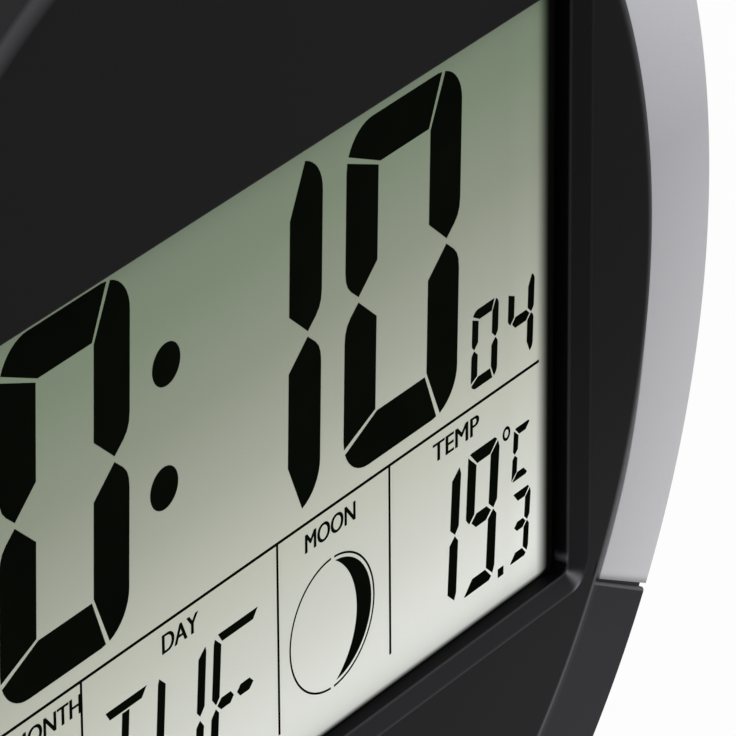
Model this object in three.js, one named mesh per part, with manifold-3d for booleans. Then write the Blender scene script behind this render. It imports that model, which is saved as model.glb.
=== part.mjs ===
// Round digital wall clock with a large liquid-crystal display.
//
// Units are millimetres. Every piece is drawn as seen from the front: x to the right, y up and
// z from the wall (z = 0) towards the viewer. The finished group is turned once, so that in the
// part's own frame +Z is up, the display looks along -Y and the wall is the plane y = 0.

import * as THREE from 'three';
import { mergeVertices } from 'three/addons/utils/BufferGeometryUtils.js';
import Module from 'manifold-3d';

const wasm = await Module();
wasm.setup();

// Driving dimensions of the casing
const bodyRadius = 150;
const bodyDepth = 30;
const wall = 2.4;
const ringWidth = 20.4;
const shoulderWidth = 3;
const shoulderDrop = 1.1;
const shoulderCurve = 1.8;
const ringFall = 0.3;
const edgeRadius = 0.8;
const sideHeight = 20.1;
const sideDraft = 1.4;

// Silver trims let into the ring
const trimHalfAngle = 30.4;
const trimThickness = 2;
const trimJoint = 0.8;
const trimGroove = 0.4;
const trimPocketWall = 2.2;
const trimPinInset = 1;
const trimPinDiameter = 3;
const trimPinHeadDiameter = 5.6;
const trimPinHeadHeight = 1.2;
const trimPinSpacing = 22;

// Window in the face: a bevel down to a lip, then an upright wall down to the glass
const windowSideMargin = 19.85;
const windowTopMargin = 65.75;
const windowBottomMargin = 62.55;
const windowCorner = 4.5;
const bevelDepth = 3.2;
const bevelInset = 1.7;
const glassSetback = 7.3;
const windowWallThickness = 2.2;

// Display
const glassMargin = 2.9;
const glassThickness = 1.1;
const glassLedge = 5;
const reflectorThickness = 0.3;
const reflectorMargin = 1.5;
const holderWall = 2.4;
const holderWeb = 1.8;
const holderRimSetback = 0.6;
const holderLugDiameter = 9;
const holderLugHeight = 2.4;
const holderLugOffset = 5.4;
const holderLugTopInset = 30.7;
const holderLugToBoard = 15;
const zebraLength = 140;
const zebraWidth = 2.6;

// Electronics
const boardWidth = 154;
const boardHeight = 53;
const boardThickness = 1.6;
const boardOverhang = 8.2;
const boardScrewSideInset = 7;
const boardScrewInnerX = 24;
const boardScrewInset = 2.8;
const blobDiameter = 17;
const blobHeight = 2.2;
const blobInset = 25;
const partsOffsetY = 16;
const crystalDiameter = 2.1;
const crystalLength = 6.2;
const capacitorDiameter = 6.3;
const capacitorHeight = 7;
const beadDiameter = 2.8;
const sensorLegDiameter = 0.7;
const sensorLegSpacing = 2.6;

// Rear cover
const coverClearance = 0.4;
const flangeWidth = 4.3;
const slopeWidth = 17.5;
const coverStep = 0.5;
const coverFlange = 2.2;
const rimLedgeHeight = 3.2;

// Hanging keyhole
const keyholeInset = 16;
const keyholeDrop = 11;
const keyholeHeadDiameter = 10;
const keyholeSlotWidth = 5.2;
const keyholeRim = 2.2;

// Screws
const caseScrewInset = 9.8;
const caseScrewSpread = 45;
const caseScrewDiameter = 2.6;
const caseScrewLength = 12;
const caseScrewHeadDiameter = 5.6;
const caseScrewHeadHeight = 1.8;
const smallScrewDiameter = 2;
const smallScrewLength = 6;
const smallScrewHeadDiameter = 4.2;
const smallScrewHeadHeight = 1.3;
const panHeadFlat = 0.72;
const panHeadRim = 0.6;
const bossWall = 2.4;
const counterboreClearance = 1.4;

// Buttons and slide switch in their recess
const panelWidth = 112;
const panelHeight = 15;
const panelRise = 1.25;
const panelDepth = 3.2;
const panelCorner = 3;
const panelTaper = 1;
const buttonDiameter = 8;
const buttonPitch = 21;
const buttonTravel = 0.8;
const buttonSetback = 1.5;
const buttonCrown = 0.7;
const buttonCrownFlat = 5.6;
const buttonFlange = 1.3;
const buttonFlangeHeight = 1.2;
const buttonStemDiameter = 4;
const domeDiameter = 9;
const domeTopDiameter = 5.8;
const domeHeight = 2;
const matThickness = 1;
const matMargin = 3;
const sliderTravel = 3;
const sliderKnobWidth = 5;
const sliderKnobHeight = 3.6;
const sliderRidgeHeight = 0.4;
const sliderFlange = 1.8;
const switchBodyWidth = 10;
const switchBodyHeight = 5;
const switchBodyDepth = 3.5;

// Batteries and their bay
const cellDiameter = 14.2;
const cellLength = 49.4;
const cellRim = 0.8;
const nubDiameter = 5.5;
const nubLength = 1;
const cellPitch = 15.8;
const bayToBoard = 3.25;
const bayWall = 1.6;
const baySideGap = 1;
const contactThickness = 0.5;
const contactWidth = 11;
const springLength = 5.6;
const springWire = 0.8;
const springBaseRadius = 4;
const springTopRadius = 2.6;
const springTurns = 4;
const tabWidth = 3;
const leadDiameter = 1.4;
const leadTail = 2;
const leadBend = 3;
const leadSlack = 3.5;
const leadSpread = 6;

// Battery door
const doorThickness = 2;
const doorMargin = 2.6;
const doorGap = 0.5;
const doorPinDiameter = 2;
const doorPinLength = 2.4;
const doorTabWidth = 12;
const doorTabLength = 3;
const thumbNotchWidth = 18;
const thumbNotchDepth = 1.1;
const doorGripCount = 4;
const doorGripPitch = 2.4;
const doorGripWidth = 19.2;
const doorGripLine = 0.8;
const doorGripDepth = 0.5;
const doorGripInset = 4;

// Vents beside the temperature sensor
const ventCount = 6;
const ventWidth = 1.8;
const ventLength = 16;
const ventPitch = 4.2;
const ventInset = 5;

// Fits
const seatGap = 0.3;
const roundSteps = 72;
const smallRoundSteps = 16;
const shoulderSteps = 3;
const quarterTurn = Math.PI / 2;

// Heights above the wall that several pieces share
const faceZ = bodyDepth;
const shoulderZ = faceZ - shoulderDrop;
const ringEdgeZ = shoulderZ - ringFall;
const rimBackZ = ringEdgeZ - sideHeight;
const shoulderRadius = bodyRadius - ringWidth;
const faceRadius = shoulderRadius - shoulderWidth;
const rimBackRadius = bodyRadius - sideDraft;
const lipZ = faceZ - bevelDepth;
const glassFrontZ = faceZ - glassSetback;
const glassBackZ = glassFrontZ - 2 * glassThickness;
const windowWallZ = glassFrontZ + seatGap;
const reflectorBackZ = glassBackZ - seatGap - reflectorThickness;
const webFrontZ = reflectorBackZ - seatGap;
const webBackZ = webFrontZ - holderWeb;
const boardFrontZ = webBackZ - seatGap;
const boardBackZ = boardFrontZ - boardThickness;
const matTopZ = boardBackZ - seatGap;
const panelOuterZ = panelDepth;
const panelInnerZ = panelDepth + wall;
const flangeOuterZ = rimBackZ + coverStep;
const flangeInnerZ = flangeOuterZ + coverFlange;
const coverInnerRadius = rimBackRadius - wall - trimThickness - coverClearance;
const slopeRadius = coverInnerRadius - flangeWidth;
const plateauRadius = slopeRadius - slopeWidth;
const caseScrewCircle = coverInnerRadius - caseScrewInset;
const keyholeSlotTop = caseScrewCircle - keyholeInset;
const keyholeCentreY = keyholeSlotTop - keyholeDrop;

// The window keeps its margins to the face's edge
const windowWidth = 2 * (faceRadius - windowSideMargin);
const windowTopY = faceRadius - windowTopMargin;
const windowBottomY = windowBottomMargin - faceRadius;
const windowHeight = windowTopY - windowBottomY;
const windowCentreY = (windowTopY + windowBottomY) / 2;

// Sizes of the display stack, from the window outwards
const lipWidth = windowWidth - 2 * bevelInset;
const lipHeight = windowHeight - 2 * bevelInset;
const lipCorner = windowCorner - bevelInset;
const glassWidth = lipWidth + 2 * glassMargin;
const glassHeight = lipHeight + 2 * glassMargin;
const holderInnerWidth = glassWidth + 2 * seatGap;
const holderInnerHeight = glassHeight + 2 * seatGap;
const holderWidth = holderInnerWidth + 2 * holderWall;
const holderHeight = holderInnerHeight + 2 * holderWall;
const holderTopY = windowCentreY + holderHeight / 2;
const holderBottomY = windowCentreY - holderHeight / 2;
const glassBottomY = windowCentreY - glassHeight / 2;
const zebraY = glassBottomY + glassLedge / 2;
const boardBottomY = glassBottomY - boardOverhang;
const boardCentreY = boardBottomY + boardHeight / 2;
const boardScrewY = boardBottomY + boardScrewInset;
const blobX = boardWidth / 2 - blobInset;
const ventX = ventInset - boardWidth / 2;
const panelCentreY = boardCentreY + panelRise;
const buttonFirstX = -2 * buttonPitch;
const sliderX = 2 * buttonPitch;

// The bay's inside, from the cells outwards
const bayHalfLength = (cellLength + nubLength + springLength) / 2 + contactThickness + 2 * seatGap;
const bayHalfHeight = (cellPitch + cellDiameter) / 2 + baySideGap;
const bayCentreY = boardBottomY - bayToBoard - bayWall - bayHalfHeight;
const doorTopZ = seatGap + doorThickness;
const cellZ = doorTopZ + 2 * seatGap + cellDiameter / 2;
const bayFloorZ = cellZ + cellDiameter / 2 + seatGap;
const cellShift = (springLength - nubLength) / 2;
const cellY = (side) => bayCentreY + (side * cellPitch) / 2;
const doorWidth = 2 * bayHalfLength + 2 * doorMargin;
const doorTopY = bayCentreY + bayHalfHeight + doorMargin;
const doorBottomY = bayCentreY - bayHalfHeight - doorMargin;
const doorPivotY = doorBottomY + doorThickness / 2;
const doorPivotZ = seatGap + doorThickness / 2;
const tabZ = cellZ + cellDiameter / 4;
const contactPlateX = bayHalfLength - seatGap - contactThickness / 2;

// A closed mesh becomes a solid for cutting and joining, and a solid becomes a mesh again.
function solid(geometry) {
  const bare = geometry.clone();
  bare.deleteAttribute('normal');
  bare.deleteAttribute('uv');
  const merged = mergeVertices(bare, 1e-5);
  return new wasm.Manifold(new wasm.Mesh({
    numProp: 3,
    vertProperties: new Float32Array(merged.attributes.position.array),
    triVerts: new Uint32Array(merged.index.array),
  }));
}

function geometryOf(manifold) {
  const cut = manifold.getMesh();
  const geometry = new THREE.BufferGeometry();
  geometry.setAttribute('position', new THREE.BufferAttribute(cut.vertProperties, 3));
  geometry.setIndex(new THREE.BufferAttribute(cut.triVerts, 1));
  geometry.computeVertexNormals();
  return geometry;
}

function join(parts) {
  return parts.reduce((whole, part) => whole.add(part));
}

// Radius and height pairs, counter-clockwise, turned about the clock's axis.
function revolved(profile, steps = roundSteps) {
  const points = profile.map(([radius, z]) => new THREE.Vector2(radius, z));
  return solid(new THREE.LatheGeometry(points, steps).rotateX(Math.PI / 2));
}

function drum(diameter, z0, z1, x = 0, y = 0, steps = smallRoundSteps) {
  const cylinder = new THREE.CylinderGeometry(diameter / 2, diameter / 2, z1 - z0, steps);
  return solid(cylinder.rotateX(Math.PI / 2).translate(x, y, (z0 + z1) / 2));
}

function block(width, height, z0, z1, x = 0, y = 0) {
  return solid(new THREE.BoxGeometry(width, height, z1 - z0).translate(x, y, (z0 + z1) / 2));
}

// Corner points of a rounded rectangle, counter-clockwise.
function roundedOutline(width, height, radius, steps = 3) {
  const outline = [];
  const corners = [[1, -1, -1], [1, 1, 0], [-1, 1, 1], [-1, -1, 2]];
  for (const [sx, sy, quarters] of corners) {
    for (let i = 0; i <= steps; i += 1) {
      const angle = quarterTurn * (quarters + i / steps);
      outline.push([
        sx * (width / 2 - radius) + radius * Math.cos(angle),
        sy * (height / 2 - radius) + radius * Math.sin(angle),
      ]);
    }
  }
  return outline;
}

// A stack of convex outlines with equal point counts, from the lowest z to the highest.
function lofted(layers, x = 0, y = 0) {
  const count = layers[0].outline.length;
  const positions = [];
  for (const { outline, z } of layers) {
    for (const [px, py] of outline) positions.push(px + x, py + y, z);
  }
  const index = [];
  for (let layer = 0; layer < layers.length - 1; layer += 1) {
    for (let i = 0; i < count; i += 1) {
      const a = layer * count + i;
      const b = layer * count + ((i + 1) % count);
      index.push(a, b, b + count, a, b + count, a + count);
    }
  }
  const top = (layers.length - 1) * count;
  for (let i = 1; i < count - 1; i += 1) {
    index.push(0, i + 1, i);
    index.push(top, top + i, top + i + 1);
  }
  const geometry = new THREE.BufferGeometry();
  geometry.setAttribute('position', new THREE.Float32BufferAttribute(positions, 3));
  geometry.setIndex(index);
  return solid(geometry);
}

function roundedPlate(width, height, radius, z0, z1, x = 0, y = 0) {
  const outline = roundedOutline(width, height, radius);
  return lofted([{ outline, z: z0 }, { outline, z: z1 }], x, y);
}

// The part of a round body between two angles, as a wedge from the axis outwards.
function sector(centreDegrees, halfDegrees, spread = 0) {
  const far = bodyRadius * 1.5;
  const shape = new THREE.Shape();
  const steps = 8;
  const centre = THREE.MathUtils.degToRad(centreDegrees);
  const half = THREE.MathUtils.degToRad(halfDegrees);
  const tip = spread / Math.sin(half);
  const tipX = -tip * Math.cos(centre);
  const tipY = -tip * Math.sin(centre);
  shape.moveTo(tipX, tipY);
  for (let i = 0; i <= steps; i += 1) {
    const angle = centre - half + (2 * half * i) / steps;
    shape.lineTo(tipX + far * Math.cos(angle), tipY + far * Math.sin(angle));
  }
  shape.closePath();
  const wedge = new THREE.ExtrudeGeometry(shape, { depth: bodyDepth * 2, bevelEnabled: false });
  return solid(wedge.translate(0, 0, -bodyDepth / 2));
}

function polar(radius, degrees) {
  const angle = THREE.MathUtils.degToRad(degrees);
  return [radius * Math.cos(angle), radius * Math.sin(angle)];
}

// A tube along a curve, closed at both ends.
function tube(curve, diameter, steps, sides = 6) {
  const section = new THREE.Shape();
  for (let i = 0; i < sides; i += 1) {
    const angle = (2 * Math.PI * i) / sides;
    section[i === 0 ? 'moveTo' : 'lineTo'](
      (diameter / 2) * Math.cos(angle),
      (diameter / 2) * Math.sin(angle),
    );
  }
  section.closePath();
  return new THREE.ExtrudeGeometry(section, { steps, bevelEnabled: false, extrudePath: curve });
}

const finishes = {
  blackAbs: { color: 0x1b1b1c, roughness: 0.45, metalness: 0 },
  silverPaint: { color: 0xb4b4b9, roughness: 0.35, metalness: 0.5 },
  displayGlass: { color: 0xbfc4b4, roughness: 0.15, metalness: 0 },
  reflector: { color: 0xd4d6cc, roughness: 0.4, metalness: 0.3 },
  whiteAbs: { color: 0xd9d9d4, roughness: 0.5, metalness: 0 },
  board: { color: 0x2f6b45, roughness: 0.5, metalness: 0 },
  epoxy: { color: 0x101010, roughness: 0.3, metalness: 0 },
  silicone: { color: 0x8c9096, roughness: 0.7, metalness: 0 },
  plated: { color: 0xc9c9c6, roughness: 0.25, metalness: 1 },
  greyAbs: { color: 0x5c5e61, roughness: 0.5, metalness: 0 },
  cellJacket: { color: 0x3a4a63, roughness: 0.35, metalness: 0.2 },
  redPvc: { color: 0xa11e1e, roughness: 0.45, metalness: 0 },
  blackPvc: { color: 0x161616, roughness: 0.45, metalness: 0 },
  sensor: { color: 0x222222, roughness: 0.35, metalness: 0 },
};

function piece(name, finish, geometry) {
  const mesh = new THREE.Mesh(geometry, new THREE.MeshStandardMaterial(finishes[finish]));
  mesh.name = name;
  return mesh;
}

// The sloping back of the cover, seen at a given radius.
function slopeZ(radius) {
  return (flangeOuterZ * (radius - plateauRadius)) / slopeWidth;
}

// The drafted side of the housing, seen at a given height.
function sideRadius(z) {
  return rimBackRadius + (sideDraft * (z - rimBackZ)) / (ringEdgeZ - edgeRadius - rimBackZ);
}

// Side, rounded edge and ring as radius and height pairs, from a foot on the side inwards.
function ringProfile(footZ, ringInner) {
  const edge = [0, 1, 2].map((i) => [
    bodyRadius - edgeRadius * (1 - Math.cos((quarterTurn * i) / 2)),
    ringEdgeZ - edgeRadius * (1 - Math.sin((quarterTurn * i) / 2)),
  ]);
  return [[sideRadius(footZ), footZ], ...edge, [ringInner, shoulderZ]];
}

// The shoulder from the ring up to the face: its fall grows as a power of the way out.
function shoulderProfile() {
  return Array.from({ length: shoulderSteps }, (_, i) => {
    const share = (shoulderSteps - 1 - i) / shoulderSteps;
    return [faceRadius + shoulderWidth * share, faceZ - shoulderDrop * share ** shoulderCurve];
  });
}

const screwAngles = [90, 270].flatMap((middle) => (
  [-caseScrewSpread, 0, caseScrewSpread].map((turn) => middle + turn)
));
const trimCentres = { left: 180, right: 0 };
const trimPinAngles = [-trimPinSpacing, 0, trimPinSpacing];
const trimPinRadius = (shoulderRadius + bodyRadius) / 2 - trimPinInset;
const trimUnderZ = shoulderZ - trimThickness;
const trimFloorZ = trimUnderZ - seatGap;
const trimCeilingZ = trimFloorZ - trimPocketWall;
const bossTopZ = flangeInnerZ + seatGap;
const holderLugBackZ = webBackZ;
const holderLugFrontZ = webBackZ + holderLugHeight;

function holderFixings() {
  const top = holderTopY + holderLugOffset;
  const bottom = holderBottomY - holderLugOffset;
  const topX = holderWidth / 2 - holderLugTopInset;
  const bottomX = boardWidth / 2 + holderLugToBoard;
  return [[-topX, top], [0, top], [topX, top], [-bottomX, bottom], [bottomX, bottom]];
}

function boardFixings() {
  const outerX = boardWidth / 2 - boardScrewSideInset;
  return [-outerX, -boardScrewInnerX, boardScrewInnerX, outerX].map((x) => [x, boardScrewY]);
}

// Front housing

function housingBlank() {
  return revolved([
    [0, rimBackZ],
    ...ringProfile(rimBackZ, shoulderRadius),
    ...shoulderProfile(),
    [0, faceZ],
  ]);
}

// Room inside the shell. It narrows to a ledge round the rear cover's edge.
function housingCavity() {
  const ledgeTop = flangeInnerZ + rimLedgeHeight;
  return revolved([
    [0, rimBackZ - wall],
    [coverInnerRadius + coverClearance, rimBackZ - wall],
    [coverInnerRadius + coverClearance, ledgeTop - wall],
    [sideRadius(ledgeTop) - wall, ledgeTop],
    [bodyRadius - wall, ringEdgeZ - wall],
    [shoulderRadius - wall / 2, shoulderZ - wall],
    [faceRadius, faceZ - wall],
    [0, faceZ - wall],
  ]);
}

// Seat of a trim: everything above its underside and outside its skirt.
function trimPocket() {
  const outside = bodyRadius + wall;
  const above = faceZ + wall;
  return revolved([
    [rimBackRadius - trimThickness - seatGap, rimBackZ - wall],
    [outside, rimBackZ - wall],
    [outside, above],
    [shoulderRadius - seatGap, above],
    [shoulderRadius - seatGap, trimFloorZ],
    [bodyRadius - trimThickness - seatGap, trimFloorZ - ringFall],
    [rimBackRadius - trimThickness - seatGap, rimBackZ - wall],
  ]);
}

// Plastic that stays behind a trim's seat where the cavity would break through.
function trimPocketLining() {
  const outside = bodyRadius + wall;
  const above = faceZ + wall;
  const inner = bodyRadius - trimThickness - seatGap - trimPocketWall;
  return revolved([
    [coverInnerRadius + coverClearance, rimBackZ - wall * 2],
    [outside, rimBackZ - wall * 2],
    [outside, above],
    [shoulderRadius - seatGap - trimPocketWall, above],
    [shoulderRadius - seatGap - trimPocketWall, trimCeilingZ],
    [inner, trimCeilingZ - ringFall],
    [coverInnerRadius + coverClearance, rimBackZ - wall * 2],
  ]);
}

function frontHousing() {
  const centres = Object.values(trimCentres);
  const pockets = centres.map((centre) => trimPocket().intersect(sector(centre, trimHalfAngle, trimJoint)));
  const linings = centres.map((centre) => (
    trimPocketLining().intersect(sector(centre, trimHalfAngle, trimJoint + trimPocketWall))
  ));
  const cavity = housingCavity().subtract(join(linings));
  let shell = housingBlank().subtract(join(pockets)).subtract(cavity);

  const inner = faceZ - wall / 2;
  const windowWall = roundedPlate(
    lipWidth + 2 * windowWallThickness,
    lipHeight + 2 * windowWallThickness,
    lipCorner + windowWallThickness,
    windowWallZ, inner, 0, windowCentreY,
  );
  const bosses = screwAngles.map((angle) => {
    const [x, y] = polar(caseScrewCircle, angle);
    return drum(caseScrewDiameter + 2 * bossWall, bossTopZ, shoulderZ - wall / 2, x, y);
  });
  const holderBosses = holderFixings().map(([x, y]) => (
    drum(smallScrewDiameter + 2 * bossWall, holderLugFrontZ + seatGap, inner, x, y)
  ));
  shell = join([shell, windowWall, ...bosses, ...holderBosses]);

  const front = roundedOutline(windowWidth, windowHeight, windowCorner);
  const lip = roundedOutline(lipWidth, lipHeight, lipCorner);
  const opening = lofted([
    { outline: lip, z: rimBackZ },
    { outline: lip, z: lipZ },
    { outline: front, z: faceZ },
    { outline: front, z: faceZ + wall },
  ], 0, windowCentreY);
  const pilots = screwAngles.map((angle) => {
    const [x, y] = polar(caseScrewCircle, angle);
    const depthZ = flangeOuterZ + caseScrewLength + seatGap;
    return drum(caseScrewDiameter + 2 * seatGap, bossTopZ - wall, depthZ, x, y);
  });
  const holderPilots = holderFixings().map(([x, y]) => drum(
    smallScrewDiameter + 2 * seatGap,
    holderLugFrontZ - wall,
    holderLugBackZ + smallScrewLength + seatGap,
    x, y,
  ));
  const pinHoles = centres.flatMap((centre) => trimPinAngles.map((angle) => {
    const [x, y] = polar(trimPinRadius, centre + angle);
    return drum(trimPinDiameter + 2 * seatGap, trimCeilingZ - wall, trimUnderZ + wall, x, y);
  }));
  return piece('front_housing', 'blackAbs', geometryOf(
    shell.subtract(join([opening, ...pilots, ...holderPilots, ...pinHoles])),
  ));
}

// Silver trim: a curved strip with a skirt down the side, and pins staked behind the ring.
function silverTrim(side) {
  const centre = trimCentres[side];
  const strip = revolved([
    [rimBackRadius - trimThickness, rimBackZ + seatGap],
    ...ringProfile(rimBackZ + seatGap, shoulderRadius - seatGap + trimGroove),
    [shoulderRadius - seatGap + trimGroove, trimUnderZ],
    [bodyRadius - trimThickness, trimUnderZ - ringFall],
    [rimBackRadius - trimThickness, rimBackZ + seatGap],
  ]);
  const pinFoot = trimCeilingZ - seatGap;
  const pins = trimPinAngles.flatMap((angle) => {
    const [x, y] = polar(trimPinRadius, centre + angle);
    return [
      drum(trimPinDiameter, pinFoot - trimPinHeadHeight / 2, trimUnderZ + trimThickness / 2, x, y),
      drum(trimPinHeadDiameter, pinFoot - trimPinHeadHeight, pinFoot, x, y),
    ];
  });
  return piece(`silver_trim_${side}`, 'silverPaint', geometryOf(
    join([strip.intersect(sector(centre, trimHalfAngle)), ...pins]),
  ));
}

// Display

function lcdGlass() {
  const frontPlate = block(
    glassWidth, glassHeight,
    glassFrontZ - glassThickness, glassFrontZ,
    0, windowCentreY,
  );
  const backPlate = block(
    glassWidth, glassHeight - glassLedge,
    glassBackZ, glassFrontZ - glassThickness / 2,
    0, windowCentreY + glassLedge / 2,
  );
  return piece('lcd_glass', 'displayGlass', geometryOf(frontPlate.add(backPlate)));
}

function lcdReflector() {
  return piece('lcd_reflector', 'reflector', geometryOf(block(
    glassWidth - 2 * reflectorMargin,
    glassHeight - glassLedge - 2 * reflectorMargin,
    reflectorBackZ, reflectorBackZ + reflectorThickness,
    0, windowCentreY + glassLedge / 2,
  )));
}

// Tray behind the glass, with fixing lugs above and below and pads for the board's screws.
function lcdHolder() {
  const rimZ = glassFrontZ - holderRimSetback;
  const outer = roundedPlate(holderWidth, holderHeight, holderWall, webBackZ, rimZ, 0, windowCentreY);
  const inner = block(holderInnerWidth, holderInnerHeight, webFrontZ, rimZ + wall, 0, windowCentreY);
  const lugs = holderFixings().flatMap(([x, y]) => {
    const inward = Math.sign(windowCentreY - y);
    const neck = holderLugOffset + holderWall / 2;
    return [
      drum(holderLugDiameter, holderLugBackZ, holderLugFrontZ, x, y),
      block(holderLugDiameter, neck, holderLugBackZ, holderLugFrontZ, x, y + (inward * neck) / 2),
    ];
  });
  const padHeight = holderBottomY + holderWall / 2 - (boardBottomY + seatGap);
  const padY = boardBottomY + seatGap + padHeight / 2;
  const pads = boardFixings().map(([x]) => (
    block(2 * boardScrewInset + holderWall, padHeight, webBackZ, rimZ, x, padY)
  ));
  const ribs = [-1, 0, 1].map((i) => (
    block(holderWall / 2, holderHeight / 2 - holderWall, boardFrontZ - 2 * seatGap, webBackZ + holderWeb / 2,
      (i * boardWidth) / 2 + i * holderWall, windowCentreY + holderHeight / 4)
  ));
  const zebraSlot = block(
    zebraLength + 2 * seatGap, zebraWidth + 2 * seatGap,
    webBackZ - wall, webFrontZ + wall, 0, zebraY,
  );
  const screwHoles = holderFixings().map(([x, y]) => (
    drum(smallScrewDiameter + 2 * seatGap, holderLugBackZ - wall, holderLugFrontZ + wall, x, y)
  ));
  const pilots = boardFixings().map(([x, y]) => (
    drum(smallScrewDiameter + 2 * seatGap, webBackZ - wall, boardBackZ + smallScrewLength + seatGap, x, y)
  ));
  return piece('lcd_holder', 'whiteAbs', geometryOf(
    join([outer.subtract(inner), ...lugs, ...pads, ...ribs])
      .subtract(join([zebraSlot, ...screwHoles, ...pilots])),
  ));
}

function zebraStrip() {
  const top = glassFrontZ - glassThickness - seatGap;
  return piece('zebra_strip', 'silicone', geometryOf(
    block(zebraLength, zebraWidth, boardFrontZ + seatGap, top, 0, zebraY),
  ));
}

// Electronics on the board behind the holder

function mainBoard() {
  const sheet = block(boardWidth, boardHeight, boardBackZ, boardFrontZ, 0, boardCentreY);
  const holes = boardFixings().map(([x, y]) => (
    drum(smallScrewDiameter + 2 * seatGap, boardBackZ - wall, boardFrontZ + wall, x, y)
  ));
  return piece('main_board', 'board', geometryOf(sheet.subtract(join(holes))));
}

function controllerBlob() {
  const top = boardBackZ - seatGap;
  const steps = 3;
  const arc = Array.from({ length: steps + 1 }, (_, i) => [
    (blobDiameter / 2) * Math.sin((quarterTurn * i) / steps),
    top - blobHeight * Math.cos((quarterTurn * i) / steps),
  ]);
  const mesh = piece('controller_blob', 'epoxy', geometryOf(revolved([...arc, [0, top]], smallRoundSteps)));
  mesh.position.set(blobX, boardCentreY + partsOffsetY, 0);
  return mesh;
}

function clockCrystal() {
  const can = new THREE.CylinderGeometry(crystalDiameter / 2, crystalDiameter / 2, crystalLength, 12);
  can.rotateZ(Math.PI / 2);
  const mesh = piece('clock_crystal', 'plated', can);
  mesh.position.set(
    blobX - blobDiameter,
    boardCentreY + partsOffsetY,
    boardBackZ - seatGap - crystalDiameter / 2,
  );
  return mesh;
}

function smoothingCapacitor() {
  const top = boardBackZ - seatGap;
  const mesh = piece('smoothing_capacitor', 'blackPvc', geometryOf(
    drum(capacitorDiameter, top - capacitorHeight, top),
  ));
  mesh.position.set(blobX - 2 * blobDiameter, boardCentreY + partsOffsetY, 0);
  return mesh;
}

// Temperature sensor bead on two legs, held close behind the vents.
function thermistor() {
  const top = boardBackZ - seatGap;
  const beadZ = wall + beadDiameter;
  const legs = [-1, 1].map((side) => (
    drum(sensorLegDiameter, beadZ, top, (side * sensorLegSpacing) / 4, 0, 8)
  ));
  const bead = solid(new THREE.SphereGeometry(beadDiameter / 2, 12, 8).translate(0, 0, beadZ));
  const mesh = piece('thermistor', 'sensor', geometryOf(join([bead, ...legs])));
  mesh.position.set(ventX, boardCentreY, 0);
  return mesh;
}

function keyMat() {
  const domes = buttonPlaces().map(([x]) => revolved([
    [0, matTopZ - matThickness - domeHeight],
    [domeTopDiameter / 2, matTopZ - matThickness - domeHeight],
    [domeDiameter / 2, matTopZ - matThickness / 2],
    [0, matTopZ - matThickness / 2],
  ], smallRoundSteps).translate([x, panelCentreY, 0]));
  const first = buttonFirstX - domeDiameter / 2 - matMargin;
  const last = buttonFirstX + 3 * buttonPitch + domeDiameter / 2 + matMargin;
  const sheet = roundedPlate(
    last - first, domeDiameter + 2 * matMargin, matMargin,
    matTopZ - matThickness, matTopZ,
    (first + last) / 2, panelCentreY,
  );
  return piece('key_mat', 'silicone', geometryOf(join([sheet, ...domes])));
}

function buttonPlaces() {
  return [0, 1, 2, 3].map((i) => [buttonFirstX + i * buttonPitch, panelCentreY]);
}

// One push button: a domed cap, a flange that stops it in the cover, and a stem to the key mat.
function pushButton(name, place) {
  const stemEnd = matTopZ - matThickness - domeHeight - buttonTravel - seatGap;
  const capEdge = buttonDiameter / 2;
  const flangeRadius = capEdge + buttonFlange;
  const flangeZ = panelInnerZ + seatGap;
  const profile = [
    [0, buttonSetback],
    [buttonCrownFlat / 2, buttonSetback + buttonCrown / 4],
    [capEdge, buttonSetback + buttonCrown],
    [capEdge, flangeZ],
    [flangeRadius, flangeZ],
    [flangeRadius, flangeZ + buttonFlangeHeight],
    [buttonStemDiameter / 2, flangeZ + buttonFlangeHeight],
    [buttonStemDiameter / 2, stemEnd],
    [0, stemEnd],
  ];
  const mesh = piece(name, 'greyAbs', geometryOf(revolved(profile, smallRoundSteps)));
  mesh.position.set(place[0], place[1], 0);
  return mesh;
}

function unitSwitchBody() {
  const top = boardBackZ - seatGap;
  const can = block(switchBodyWidth, switchBodyHeight, top - switchBodyDepth, top, sliderX, panelCentreY);
  return piece('unit_switch_body', 'plated', geometryOf(can));
}

// Slide knob at one end of its travel, with grip ridges across it.
function unitSlider() {
  const x = -sliderTravel / 2;
  const foot = boardBackZ - seatGap - switchBodyDepth - seatGap;
  const knobZ = buttonSetback + sliderRidgeHeight;
  const knob = block(sliderKnobWidth, sliderKnobHeight, knobZ, panelInnerZ + 2 * seatGap, x, 0);
  const flangeZ = panelInnerZ + seatGap;
  const flange = block(
    sliderKnobWidth + 2 * sliderFlange, sliderKnobHeight + 2 * sliderFlange,
    flangeZ, flangeZ + buttonFlangeHeight, x, 0,
  );
  const stem = block(sliderKnobWidth / 2, sliderKnobHeight / 2, flangeZ, foot, x, 0);
  const ridges = [-1, 0, 1].map((i) => (
    block(sliderKnobWidth / 9, sliderKnobHeight, buttonSetback, knobZ + sliderRidgeHeight,
      x + (i * sliderKnobWidth) / 3, 0)
  ));
  const mesh = piece('unit_slider', 'greyAbs', geometryOf(join([knob, flange, stem, ...ridges])));
  mesh.position.set(sliderX, panelCentreY, 0);
  return mesh;
}

// Rear cover

function coverShell() {
  const slopeInner = slopeRadius - coverFlange / 2;
  return revolved([
    [0, 0],
    [plateauRadius, 0],
    [slopeRadius, flangeOuterZ],
    [coverInnerRadius, flangeOuterZ],
    [coverInnerRadius, flangeInnerZ],
    [slopeInner, flangeInnerZ],
    [plateauRadius - wall / 2, wall],
    [0, wall],
  ]);
}

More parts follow.
